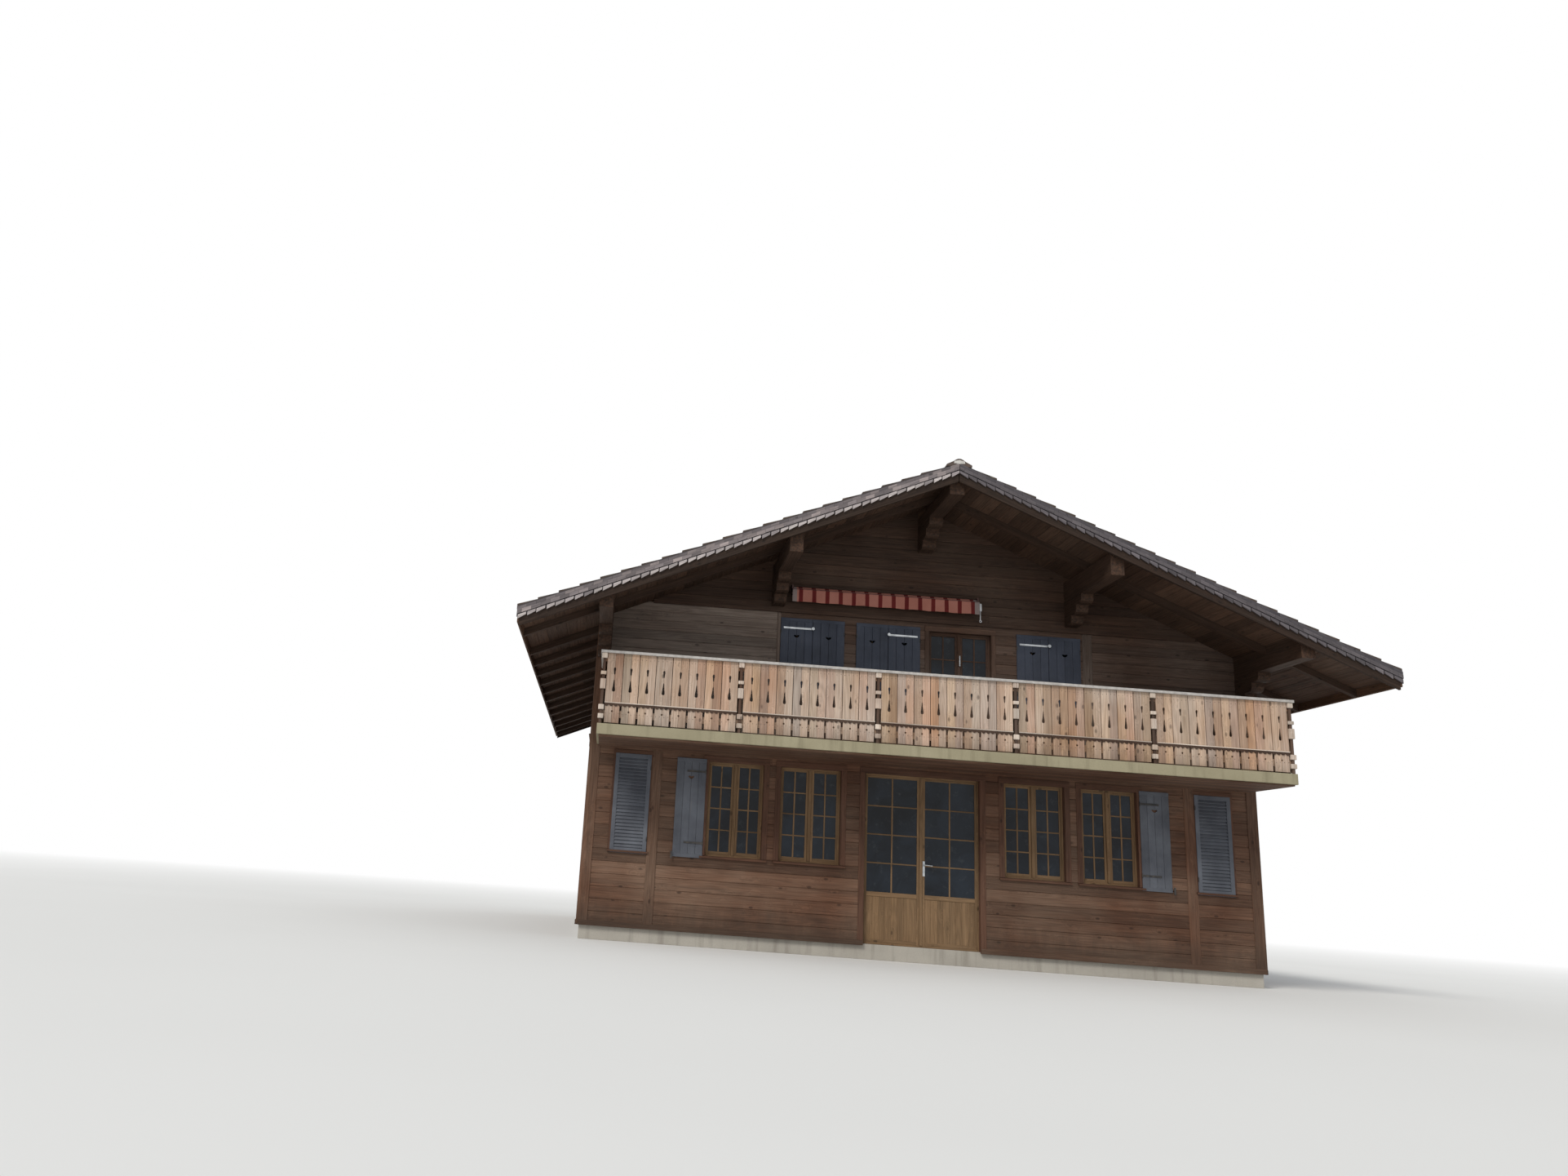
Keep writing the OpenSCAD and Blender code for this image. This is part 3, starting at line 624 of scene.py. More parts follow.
def rows(levels, pitch):
    """heights of the joints between level boards, which meet every given level"""
    heights = [levels[0]]
    for low, high in zip(levels, levels[1:]):
        count = max(1, round((high - low) / pitch))
        heights += [low + (high - low) * i / count for i in range(1, count + 1)]
    return heights


def free_runs(low, high, middle, openings):
    """stretches of one row that no opening cuts"""
    cuts = sorted((a, b) for a, b, sill, head in openings if sill < middle < head)
    runs, start = [], low
    for a, b in cuts:
        if min(a, high) - start > 0.01:
            runs.append((start, min(a, high)))
        start = max(start, b)
    if high - start > 0.01:
        runs.append((start, high))
    return runs


def lengths(a0, a1, longest):
    """cuts a long run into boards that meet at uneven places"""
    count = math.ceil((a1 - a0) / longest)
    inner = [a0 + (a1 - a0) * (i + dice.uniform(-0.25, 0.25)) / count for i in range(1, count)]
    ends = [a0, *inner, a1]
    return list(zip(ends, ends[1:]))


def clad(shape, wall, levels, pitch, openings, reach, proud=0.0, wear=None):
    """level boards over a wall, left out at the openings and cut to the roof's slope; wear is a range"""
    heights = rows(sorted(levels), pitch)
    for z0, z1 in zip(heights, heights[1:]):
        (low, high), (top_low, top_high) = reach(z0), reach(z1)
        middle = (z0 + z1) / 2
        for a0, a1 in free_runs(low, high, middle, openings):
            for b0, b1 in lengths(a0, a1, LONGEST_BOARD):
                outer = -proud - BOARD_THICK - dice.uniform(0, BOARD_UNEVEN)
                left = END_JOINT if b0 > a0 else 0.0
                right = END_JOINT if b1 < a1 else 0.0
                verts = wall.block(shape, (b0 + left, b1 - right), (outer, -proud + 0.004), (z0, z1),
                                   wall.along, dice.uniform(*wear) if wear else 0.0)
                for v in verts:
                    if v.co.z < middle:
                        continue
                    a = (v.co - wall.start).dot(wall.along)
                    if b0 == low and abs(a - b0) < 0.001:
                        v.co += wall.along * (min(top_low, b1 - 0.01) - low)
                    if b1 == high and abs(a - b1) < 0.001:
                        v.co += wall.along * (max(top_high, b0 + 0.01) - high)


def boarded(name, finish, slot, *cladding, **more):
    """one wall's boards as a piece of its own"""
    shape = Shape()
    clad(shape, *cladding, **more)
    ease(shape, BOARD_EASE)
    piece(shape, name, finish)


def gable_reach(z):
    """both ends of a row of boards at a height, on the front and the back"""
    w = half_width(z)
    return (-w, w)


def side_reach(z):
    """both ends of a row on a side wall, the same at every height"""
    return (0.0, DEPTH)


def purlin_gaps():
    """the places in a gable that the boards leave free for the purlins"""
    a, b, z = MID_PURLIN
    return [(a, b, z, RIDGE), (-b, -a, z, RIDGE), (*RIDGE_PURLIN, RIDGE)]


# the bay at the left end of the balcony is made the palest of the upper front
BAY_EDGE, BAY_PALENESS, LIGHT_WEAR = -2.1, (0.55, 0.75), (0, 0.12)


def left_bay_reach(z):
    return (-half_width(z), BAY_EDGE)


def middle_reach(z):
    return (BAY_EDGE, half_width(z))


def front_boards():
    """both storeys of the front, with upright boards over the joints between bays"""
    shape = Shape()
    levels = [FLOOR, GROUND_SILL, GROUND_HEAD, SLAB_LOW]
    clad(shape, FRONT_WALL, levels, WIDE_BOARD, FRONT_GROUND + [TERRACE_DOOR], gable_reach)
    for s in (-1, 1):
        FRONT_WALL.block(shape, sorted((s * 3.64, s * 3.78)), (-0.024, 0.0), (FLOOR, SLAB_LOW), RUN_Z)
    ease(shape, BOARD_EASE)
    piece(shape, "wall_boards_front_ground", WALL)
    shape = Shape()
    openings = FRONT_UPPER + [BALCONY_DOOR]
    levels = [SLAB_TOP, UPPER_SILL, UPPER_HEAD, GABLE_LOW]
    clad(shape, FRONT_WALL, levels, NARROW_BOARD, [], left_bay_reach, wear=BAY_PALENESS)
    clad(shape, FRONT_WALL, levels, NARROW_BOARD, openings, middle_reach, wear=LIGHT_WEAR)
    for a0, a1, wear in ((BAY_EDGE - 0.012, BAY_EDGE + 0.04, 0.45), (2.29, 2.43, 0.4)):
        FRONT_WALL.block(shape, (a0, a1), (-0.024, 0.0), (SLAB_TOP, GABLE_LOW), RUN_Z, wear)
    ease(shape, BOARD_EASE)
    piece(shape, "wall_boards_front_upper", UPPER)


def gable_boards():
    """the boarded gables; the front one stands proud and ends in a drip board"""
    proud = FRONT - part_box("gable_front")[0].y
    purlins_and_top = [MID_PURLIN[2], RIDGE_PURLIN[2], RIDGE - DECK_LOW - 0.03]
    shape = Shape()
    levels = [GABLE_LOW] + purlins_and_top
    clad(shape, FRONT_WALL, levels, WIDE_BOARD, purlin_gaps(), gable_reach, proud=proud)
    ease(shape, BOARD_EASE)
    w = half_width(GABLE_LOW + 0.03)
    FRONT_WALL.block(shape, (-w, w), (-proud - 0.03, -proud), (GABLE_LOW - 0.03, GABLE_LOW + 0.025), RUN_X)
    piece(shape, "gable_boards_front", GABLE)
    levels = [SLAB_TOP, UPPER_SILL, UPPER_HEAD] + purlins_and_top
    boarded("gable_boards_back", GABLE, "gable_wood", BACK_WALL, levels, WIDE_BOARD,
            BACK_UPPER + purlin_gaps(), gable_reach)


def side_and_back_boards():
    """the ground storey of the sides and the back, and the upper one of the sides"""
    ground = [FLOOR, GROUND_SILL, GROUND_HEAD, SLAB_LOW, SLAB_TOP]
    upper = [SLAB_TOP, SIDE_SILL, SIDE_HEAD, SIDE_TOP]
    boarded("wall_boards_back_ground", WALL, "wall_wood", BACK_WALL, ground, WIDE_BOARD,
            BACK_GROUND, gable_reach)
    for side, wall in (("left", LEFT_WALL), ("right", RIGHT_WALL)):
        boarded(f"wall_boards_{side}_ground", WALL, "wall_wood", wall, ground, WIDE_BOARD,
                SIDE_GROUND, side_reach)
        boarded(f"wall_boards_{side}_upper", UPPER, "upper_wood", wall, upper, NARROW_BOARD,
                SIDE_UPPER, side_reach)


def corners(shape):
    """upright boards over the four corners"""
    for x in (-1, 1):
        ends = sorted((x * (HALF + CORNER_PROUD), x * (HALF - CORNER_WIDE)))
        for wall in (FRONT_WALL, BACK_WALL):
            wall.block(shape, ends, (-0.022, 0.0), (FLOOR, roof_line(HALF) - DECK_LOW - 0.01), RUN_Z)
        side = RIGHT_WALL if x > 0 else LEFT_WALL
        for a0, a1 in ((-CORNER_PROUD, CORNER_WIDE), (DEPTH - CORNER_WIDE, DEPTH + CORNER_PROUD)):
            side.block(shape, (a0, a1), (-0.022, 0.0), (FLOOR, SIDE_TOP - 0.03), RUN_Z)


def corner_and_drip_boards():
    """the corners, a drip board at the foot of each wall, and a belt at the upper floor on the walls
    without a balcony"""
    shape = Shape()
    corners(shape)
    fronts = [(FRONT_WALL, -HALF, TERRACE_DOOR[0]), (FRONT_WALL, TERRACE_DOOR[1], HALF)]
    others = [(BACK_WALL, -HALF, HALF), (LEFT_WALL, 0, DEPTH), (RIGHT_WALL, 0, DEPTH)]
    for wall, a0, a1 in fronts + others:
        verts = wall.block(shape, (a0, a1), (-0.034, 0.0), (FLOOR - 0.02, FLOOR + 0.06), wall.along)
        wall.shed(verts, FLOOR, 0.02)
    for wall, a0, a1 in others:
        ends = (a0 + CORNER_WIDE, a1 - CORNER_WIDE)
        wall.block(shape, ends, (-0.03, 0.0), (SLAB_LOW - 0.02, SLAB_TOP), wall.along)
        verts = wall.block(shape, ends, (-0.046, 0.0), (SLAB_TOP, SLAB_TOP + 0.025), wall.along)
        wall.shed(verts, SLAB_TOP + 0.01, 0.012)
    ease(shape, 0.004)
    piece(shape, "corner_and_drip_boards", WALL)


# windows and doors

# borders of the glazed parts, as in the solids, and the narrowest window with two of them
STILE, MULLION, BOTTOM_RAIL, WIDE_WINDOW = 0.055, 0.11, 0.07, 0.6
RIM, SASH_LAP, JOINERY_EASE = 0.026, 0.029, 0.003


def lights(opening):
    """the glazed parts of an opening: two beside each other in a wide one"""
    a0, a1, z0, z1 = opening
    low, high = z0 + BOTTOM_RAIL, z1 - STILE
    if a1 - a0 <= WIDE_WINDOW:
        return [(a0 + STILE, a1 - STILE, low, high)]
    middle = (a0 + a1) / 2
    return [(a0 + STILE, middle - MULLION / 2, low, high), (middle + MULLION / 2, a1 - STILE, low, high)]


def bordered(shape, wall, outer, inner, depth):
    """four bars between an outer and an inner rectangle, uprights through"""
    (a0, a1, z0, z1), (b0, b1, y0, y1) = outer, inner
    wall.block(shape, (a0, b0), depth, (z0, z1), RUN_Z)
    wall.block(shape, (b1, a1), depth, (z0, z1), RUN_Z)
    wall.block(shape, (b0, b1), depth, (z0, y0), wall.along)
    wall.block(shape, (b0, b1), depth, (y1, z1), wall.along)


def door_panel(shape, wall, light, foot):
    """upright boards under the panes of a door, with a rail over them"""
    b0, b1, y0, _ = light
    wall.block(shape, (b0, b1), (0.064, 0.114), (foot - 0.06, foot), wall.along)
    count = max(2, round((b1 - b0) / 0.09))
    wide = (b1 - b0) / count
    for i in range(count):
        ends = (b0 + i * wide, b0 + (i + 1) * wide)
        wall.block(shape, ends, (0.072, 0.106), (y0, foot - 0.06), RUN_Z)


def joinery(shape, wall, opening, rows_of_panes, panel=0.0):
    """frame, sashes and glazing bars of one window, with a boarded lower panel in a door"""
    a0, a1, z0, z1 = opening
    sashes = lights(opening)
    inner = (z0 + RIM, z1 - RIM)
    bordered(shape, wall, opening, (a0 + RIM, a1 - RIM, *inner), (0.06, 0.12))
    if len(sashes) == 2:
        middle = (a0 + a1) / 2
        wall.block(shape, (middle - 0.022, middle + 0.022), (0.052, 0.118), inner, RUN_Z)
    for b0, b1, y0, y1 in sashes:
        left = b0 - SASH_LAP - (0.004 if b0 - a0 > 0.06 else 0.0)
        right = b1 + SASH_LAP + (0.004 if a1 - b1 > 0.06 else 0.0)
        bordered(shape, wall, (left, right, *inner), (b0, b1, y0, y1), (0.066, 0.112))
        foot = y0 + panel
        if panel:
            door_panel(shape, wall, (b0, b1, y0, y1), foot)
        middle = (b0 + b1) / 2
        wall.block(shape, (middle - 0.01, middle + 0.01), (0.07, 0.108), (foot, y1), RUN_Z)
        for i in range(1, rows_of_panes):
            z = foot + (y1 - foot) * i / rows_of_panes
            wall.block(shape, (b0, b1), (0.071, 0.107), (z - 0.009, z + 0.009), wall.along)


def casing(shape, wall, opening, wide=0.075, sill=True, proud=0.02):
    """boards round an opening, and a sill that sheds the rain"""
    a0, a1, z0, z1 = opening
    outer = (a0 - wide, a1 + wide)
    wall.block(shape, (a0 - wide, a0 + 0.004), (-proud, 0.06), (z0, z1), RUN_Z)
    wall.block(shape, (a1 - 0.004, a1 + wide), (-proud, 0.06), (z0, z1), RUN_Z)
    wall.block(shape, outer, (-proud - 0.004, 0.06), (z1 - 0.004, z1 + 0.075), wall.along)
    if sill:
        verts = wall.block(shape, outer, (-0.045, 0.062), (z0 - 0.035, z0 + 0.004), wall.along)
        wall.shed(verts, z0, 0.012)


def frames_and_casings(frames, casings, name, stands_for):
    """the light frames and the brown boards round them, as two pieces"""
    ease(frames, JOINERY_EASE)
    piece(frames, f"window_joinery_{name}", OAK, stands_for)
    ease(casings, JOINERY_EASE)
    piece(casings, f"window_casings_{name}", CASING)


def front_windows():
    """the glazed ground storey, and the windows behind the closed leaves"""
    frames, casings = Shape(), Shape()
    for opening in FRONT_GROUND:
        joinery(frames, FRONT_WALL, opening, 4)
        casing(casings, FRONT_WALL, opening, wide=0.07)
    joinery(frames, FRONT_WALL, TERRACE_DOOR, 4, panel=0.62)
    casing(casings, FRONT_WALL, TERRACE_DOOR, sill=False)
    for opening in FRONT_UPPER:
        joinery(frames, FRONT_WALL, opening, 3)
    frames_and_casings(frames, casings, "front", ["window_frames_front"])


def terrace_door_handle():
    """a plate and a lever on the leaf that opens first, and a small keyhole plate under them"""
    shape = Shape()
    a, z = (TERRACE_DOOR[0] + TERRACE_DOOR[1]) / 2 + 0.04, FLOOR + 1.05
    at = FRONT_WALL.point
    FRONT_WALL.block(shape, (a - 0.016, a + 0.016), (0.058, 0.0665), (z - 0.11, z + 0.09), RUN_Z)
    rod(shape, at(a, 0.06, z + 0.04), at(a, 0.016, z + 0.04), 0.008, 16)
    rod(shape, at(a, 0.02, z + 0.04), at(a + 0.11, 0.02, z + 0.034), 0.008, 16)
    rod(shape, at(a, 0.06, z - 0.06), at(a, 0.054, z - 0.06), 0.011, 16)
    ease(shape, 0.002)
    piece(shape, "terrace_door_handle", BRIGHT)


def other_windows():
    """the windows of both sides and the back"""
    frames, casings = Shape(), Shape()
    ground = SIDE_GROUND + BACK_GROUND
    for wall, openings in ((LEFT_WALL, SIDE_GROUND + SIDE_UPPER), (RIGHT_WALL, SIDE_GROUND + SIDE_UPPER),
                           (BACK_WALL, BACK_GROUND + BACK_UPPER)):
        for opening in openings:
            joinery(frames, wall, opening, 4 if opening in ground else 3)
            casing(casings, wall, opening)
    frames_and_casings(frames, casings, "sides_back", ["window_frames_sides_back"])


def balcony_door_leaf():
    """the door to the balcony, as dark as the boards beside it"""
    shape = Shape()
    joinery(shape, FRONT_WALL, BALCONY_DOOR, 3, panel=0.7)
    casing(shape, FRONT_WALL, BALCONY_DOOR, wide=0.06, sill=False, proud=0.024)
    ease(shape, JOINERY_EASE)
    piece(shape, "balcony_door_joinery", UPPER, ["balcony_door"])


# shutters

# half of the small cut-out of a leaf, as distances from the meeting edge and heights
NOTCH = [(0.0, -0.026), (0.014, -0.022), (0.034, -0.006), (0.040, 0.010), (0.028, 0.016), (0.016, 0.016),
         (0.0, 0.006)]
NOTCH_DOWN = 0.26
# the boards of a leaf between two depths, and the faces of the ledges or battens on them
LEAF_DEPTH, LEDGED_FACE, PLAIN_FACE = (-0.028, -0.006), 0.044, 0.03
# how far a closed leaf laps over its window, how wide an open one is, and the gap beside a leaf
LEAF_OVER, LEAF_WIDE, LEAF_JOINT = 0.04, 0.44, 0.004
LOUVRE_STILE, LOUVRE_FOOT, LOUVRE_HEAD, SLAT_PITCH = 0.055, 0.07, 0.06, 0.045
# how far the hinges are from the ends of a leaf, and how long their straps are
HINGE_IN, HINGE_LONG = 0.16, 0.26


def notched_board(shape, wall, a0, a1, depth, z, notch_z, side):
    """an upright board with half of the cut-out sawn from its inner edge"""
    edge, far = (a1, a0) if side > 0 else (a0, a1)
    outline = [(far, z[0]), (edge, z[0])]
    outline += [(edge - side * dx, notch_z + dz) for dx, dz in NOTCH]
    outline += [(edge, z[1]), (far, z[1])]
    points = [wall.point(a, depth[1], h) for a, h in outline]
    prism(shape, points, wall.out * (depth[1] - depth[0]), RUN_Z)


def leaf(shape, wall, a0, a1, z0, z1, ledges=False):
    """a boarded shutter leaf, whose cut-out near the head lies between the middle boards of a wide one"""
    count = 4 if a1 - a0 > 0.36 else 3
    wide = (a1 - a0) / count
    for i in range(count):
        b0, b1 = a0 + i * wide + 0.001, a0 + (i + 1) * wide - 0.001
        side = 1 if i == count // 2 - 1 else -1
        if count == 4 and i in (1, 2):
            notched_board(shape, wall, b0, b1, LEAF_DEPTH, (z0, z1), z1 - NOTCH_DOWN, side)
        else:
            wall.block(shape, (b0, b1), LEAF_DEPTH, (z0, z1), RUN_Z)
    if ledges:
        for z in (z0 + 0.12, z1 - 0.2):
            wall.block(shape, (a0 + 0.02, a1 - 0.02), (-LEDGED_FACE, -0.028), (z, z + 0.08), wall.along)
    else:
        for z in (z0, z1 - 0.05):
            wall.block(shape, (a0, a1), (-PLAIN_FACE, -0.004), (z, z + 0.05), wall.along)


def louvred_leaf(shape, wall, a0, a1, z0, z1):
    """a framed shutter leaf with slanting slats"""
    inner = (a0 + LOUVRE_STILE, a1 - LOUVRE_STILE, z0 + LOUVRE_FOOT, z1 - LOUVRE_HEAD)
    bordered(shape, wall, (a0, a1, z0, z1), inner, (-PLAIN_FACE, -0.002))
    wall.block(shape, (a0 + 0.05, a1 - 0.05), (-0.006, -0.002), (z0 + 0.05, z1 - 0.05), wall.along)
    count = int((z1 - z0 - 0.14) / SLAT_PITCH)
    pitch = (z1 - z0 - LOUVRE_FOOT - LOUVRE_HEAD) / count
    for i in range(count):
        z = z0 + LOUVRE_FOOT + (i + 0.5) * pitch
        outline = [(-0.008, z + 0.014), (-0.012, z + 0.022), (-0.028, z - 0.012), (-0.024, z - 0.02)]
        points = [wall.point(a0 + 0.05, d, h) for d, h in outline]
        prism(shape, points, wall.along * (a1 - a0 - 0.1), wall.along)


def front_shutters():
    """closed pairs over the upper windows, and grey leaves beside the windows of the ground storey"""
    shape = Shape()
    for a0, a1, z0, z1 in FRONT_UPPER:
        middle = (a0 + a1) / 2
        low, high = z0 - LEAF_OVER, z1 + LEAF_OVER
        leaf(shape, FRONT_WALL, a0 - LEAF_OVER, middle - LEAF_JOINT / 2, low, high)
        leaf(shape, FRONT_WALL, middle + LEAF_JOINT / 2, a1 + LEAF_OVER, low, high)
    ease(shape, JOINERY_EASE)
    piece(shape, "shutter_leaves_upper", BLUE, ["shutters_front"])
    shape = Shape()
    low, high = GROUND_SILL - LEAF_OVER, GROUND_HEAD + 0.02
    for s in (-1, 1):
        louvred_leaf(shape, FRONT_WALL, *sorted((s * 3.79, s * 4.29)), low, high)
        leaf(shape, FRONT_WALL, *sorted((s * 3.02, s * 3.43)), low, high)
    ease(shape, JOINERY_EASE)
    piece(shape, "shutter_leaves_ground", GREY)


def front_hinges():
    """pins of the closed leaves, and hinges and holders of the open ones"""
    iron = Shape()
    for a0, a1, z0, z1 in FRONT_UPPER:
        for a in (a0 - 0.036, a1 + 0.036):
            hinge_pins(iron, FRONT_WALL, a, z0, z1, PLAIN_FACE)
    for s in (-1, 1):
        hinge_pins(iron, FRONT_WALL, s * 3.794, GROUND_SILL, GROUND_HEAD, PLAIN_FACE)
        hinges(iron, FRONT_WALL, s * 3.024, s, GROUND_SILL, GROUND_HEAD, PLAIN_FACE)
        holders(iron, FRONT_WALL, s * 3.445, GROUND_SILL - 0.02)
    piece(iron, "shutter_hinges_front", IRON)


def hinge_pins(shape, wall, a, z0, z1, face):
    """the pins on which a leaf hangs, at the given edge of its opening"""
    for z in (z0 + HINGE_IN, z1 - HINGE_IN):
        rod(shape, wall.point(a, 0.004 - face, z - 0.03), wall.point(a, 0.004 - face, z + 0.03), 0.009)


def hinges(shape, wall, a, side, z0, z1, face):
    """two strap hinges on the inner face of an open leaf, which the wall doesn't hide"""
    hinge_pins(shape, wall, a, z0, z1, face)
    ends = sorted((a, a + side * HINGE_LONG))
    for z in (z0 + HINGE_IN, z1 - HINGE_IN):
        wall.block(shape, ends, (-face - 0.006, -face), (z - 0.014, z + 0.014), wall.along)


def holders(shape, wall, a, z):
    """an iron holder that keeps an open leaf against the wall"""
    rod(shape, wall.point(a, 0.0, z), wall.point(a, -0.06, z), 0.007)
    wall.block(shape, (a - 0.012, a + 0.012), (-0.064, -0.056), (z - 0.045, z + 0.05), RUN_Z)


def open_shutters():
    """open pairs beside the windows of both sides and the back"""
    shape, iron = Shape(), Shape()
    pairs = [(wall, o) for wall in (LEFT_WALL, RIGHT_WALL) for o in SIDE_GROUND + SIDE_UPPER]
    pairs += [(BACK_WALL, o) for o in BACK_GROUND + BACK_UPPER]
    for wall, (a0, a1, z0, z1) in pairs:
        for side, edge in ((-1, a0), (1, a1)):
            inner, outer = edge + side * LEAF_JOINT, edge + side * (LEAF_JOINT + LEAF_WIDE)
            leaf(shape, wall, *sorted((inner, outer)), z0, z1, ledges=True)
            hinges(iron, wall, inner, side, z0, z1, LEDGED_FACE)
            holders(iron, wall, outer + side * 0.014, z0 + 0.1)
    ease(shape, JOINERY_EASE)
    piece(shape, "shutter_leaves_sides_back", BLUE, ["shutters_sides_back"])
    piece(iron, "shutter_hinges", IRON)


# balcony

PANELS, PANEL_PAIRS, SIDE_PAIRS = 5, 8, 5
COLUMN_W = 0.073
PANEL_W = (2 * BALCONY_HALF - (PANELS + 1) * COLUMN_W) / PANELS
PANEL_PITCH = PANEL_W + COLUMN_W
BOARD_PITCH = PANEL_W / (2 * PANEL_PAIRS)
PAIR_GAP, BOARD_JOINT = 0.008, 0.002
BOARD_W = BOARD_PITCH - (PAIR_GAP + BOARD_JOINT) / 2
BOARD_T, NAIL_SIDES, BOARD_FRONT_EASE = 0.025, 6, 0.0022
BACK_DEPTH = BOARD_T - 0.0015
BOARD_FOOT, BOARD_TOP = (corner.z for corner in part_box("balcony_panel_front"))
BOARD_FACE, RAIL_BACK = (corner.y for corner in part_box("balcony_panel_front"))
BOARD_BACK = BOARD_FACE - BALCONY_FACE
RAIL_W = 0.09
RAIL_HEIGHTS = (SLAB_TOP + 0.09, BOARD_TOP - 0.11)
# the saw cuts into a board's meeting edge, as depths and heights over its foot: eye, droplet, notch
CUTS = [
    [(0, .138), (.0085, .1415), (.012, .151), (.0085, .1605), (0, .164)],
    [(0, .410), (.011, .412), (.018, .421), (.019, .434), (.0175, .450), (.013, .478), (.009, .515),
     (.006, .552), (0, .574)],
    [(0, .638), (.006, .642), (.008, .655), (.009, .678), (.013, .702), (.0135, .716), (.009, .729),
     (0, .734)],
]
FOOT_NARROWING = [(0, .255), (.010, .235)]


def sawn_board(shape, place, left, side, wear):
    """one board, sawn along its edge on the given side and narrowed at the foot of the other; place maps
    width, depth and height to the building"""
    height = BOARD_TOP - BOARD_FOOT
    lean, sink = dice.uniform(-0.0012, 0.0012), dice.uniform(0, 0.0025)
    outline = [(FOOT_NARROWING[1][0], 0), (BOARD_W, 0)]
    for cut in CUTS:
        outline += [(BOARD_W - depth, z) for depth, z in cut]
    outline += [(BOARD_W, height), (0, height), *FOOT_NARROWING]
    if side < 0:
        outline = [(BOARD_W - a, z) for a, z in outline]
    points = [place(left + a + lean * z, sink, BOARD_FOOT + z) for a, z in outline]
    prism(shape, points, place(0, BACK_DEPTH, 0) - place(0, 0, 0), RUN_Z, wear)


def pairs_in_a_row(shape, place, pairs):
    """pairs of boards with the cut-outs between them, about the middle of a panel"""
    for i in range(pairs):
        joint = (i - (pairs - 1) / 2) * 2 * BOARD_PITCH
        for left, side in ((joint - BOARD_PITCH + PAIR_GAP / 2, 1), (joint + BOARD_JOINT / 2, -1)):
            sawn_board(shape, place, left, side, dice.uniform(0.0, 0.35))


def nails(shape, place, pairs):
    """two rows of nail heads into each rail"""
    for i in range(2 * pairs):
        middle = (i - pairs + 0.5) * BOARD_PITCH
        for off in (-0.026, 0.026):
            for rail in RAIL_HEIGHTS:
                a = middle + off + dice.uniform(-0.004, 0.004)
                z = rail + RAIL_W / 2 + dice.uniform(-0.006, 0.006)
                rod(shape, place(a, 0.003, z), place(a, -0.0005, z), 0.0042, NAIL_SIDES)


def panel_middle(i):
    """the middle of the field of boards between two columns"""
    return -BALCONY_HALF + COLUMN_W / 2 + (i + 0.5) * PANEL_PITCH


def front_panels(heads):
    """the sawn boards of the front, nailed to the two rails"""
    shape = Shape()
    for i in range(PANELS):
        def place(a, depth, z):
            return Vector((panel_middle(i) + a, BOARD_FACE + depth, z))
        pairs_in_a_row(shape, place, PANEL_PAIRS)
        nails(heads, place, PANEL_PAIRS)
    ease_fronts(shape)
    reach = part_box("balcony_panel_front")[1].x
    for z in RAIL_HEIGHTS:
        block(shape, (-reach, BOARD_FACE + BOARD_T, z), (reach, RAIL_BACK, z + RAIL_W), RUN_X)
    piece(shape, "balcony_boards_front", SAWN, ["balcony_panel_front"])


def side_panels(heads):
    """the sawn boards of both sides, with a plain strip at each end"""
    shape = Shape()
    low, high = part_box("balcony_panels_sides")
    middle, half_run, outer = (low.y + high.y) / 2, (high.y - low.y) / 2, high.x
    for s in (-1, 1):
        def place(a, depth, z):
            return Vector((s * (outer - depth), middle + a, z))
        pairs_in_a_row(shape, place, SIDE_PAIRS)
        nails(heads, place, SIDE_PAIRS)
        for side in (-1, 1):
            a0, a1 = sorted((side * (SIDE_PAIRS * BOARD_PITCH + PAIR_GAP / 2), side * half_run))
            block(shape, place(a0, 0, BOARD_FOOT), place(a1, BACK_DEPTH, BOARD_TOP), RUN_Z)
    ease_fronts(shape)
    inner = outer - BOARD_T
    for s in (-1, 1):
        for z in RAIL_HEIGHTS:
            block(shape, (s * (inner - 0.04), RAIL_BACK + 0.002, z), (s * inner, high.y, z + RAIL_W), RUN_Y)
    piece(shape, "balcony_boards_sides", SAWN, ["balcony_panels_sides"])


# the broad blocks of a column, from foot to head over the slab
COLUMN_BLOCKS = [(0.065, 0.127), (0.182, 0.248), (0.455, 0.590), (0.645, 0.690), (0.865, 0.935)]
SHAFT_INSET = 0.018
POST_HALF = 0.03


def column_middle(i):
    """where a column stands, counted from the left"""
    return -BALCONY_HALF + COLUMN_W / 2 + i * PANEL_PITCH


def column_blocks(shape, x):
    """the broad blocks of one column, worn to different degrees and paler than the boards, partly from wear
    and partly as painted sunlight on their faces
    """
    half, back = COLUMN_W / 2, BOARD_FACE + BOARD_T
    for low, high in COLUMN_BLOCKS:
        block(shape, (x - half, BALCONY_FACE, SLAB_TOP + low), (x + half, back, SLAB_TOP + high), RUN_Z,
              wear=dice.uniform(0.5, 0.9))


def column_shaft(shape, x):
    """the slender core of one column, which shows between its blocks, in dark wood that paints the shade of
    its recess as well as dirt
    """
    inset, back = COLUMN_W / 2 - SHAFT_INSET, BOARD_FACE + BOARD_T
    block(shape, (x - inset, BALCONY_FACE + SHAFT_INSET, SLAB_TOP), (x + inset, back, BOARD_TOP), RUN_Z)


def inner_posts(shape):
    """plain posts behind the rails, one at each column and one at the wall's end of both sides"""
    end = BALCONY_HALF - BOARD_BACK - BOARD_T - 0.04
    for i in range(PANELS + 1):
        x = max(POST_HALF - end, min(end - POST_HALF, column_middle(i)))
        block(shape, (x - POST_HALF, RAIL_BACK, SLAB_TOP),
              (x + POST_HALF, RAIL_BACK + 2 * POST_HALF, BOARD_TOP), RUN_Z)
    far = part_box("balcony_posts")[1].y
    for s in (-1, 1):
        block(shape, (s * end, far - 0.06, SLAB_TOP), (s * (end - 0.06), far, BOARD_TOP), RUN_Z)


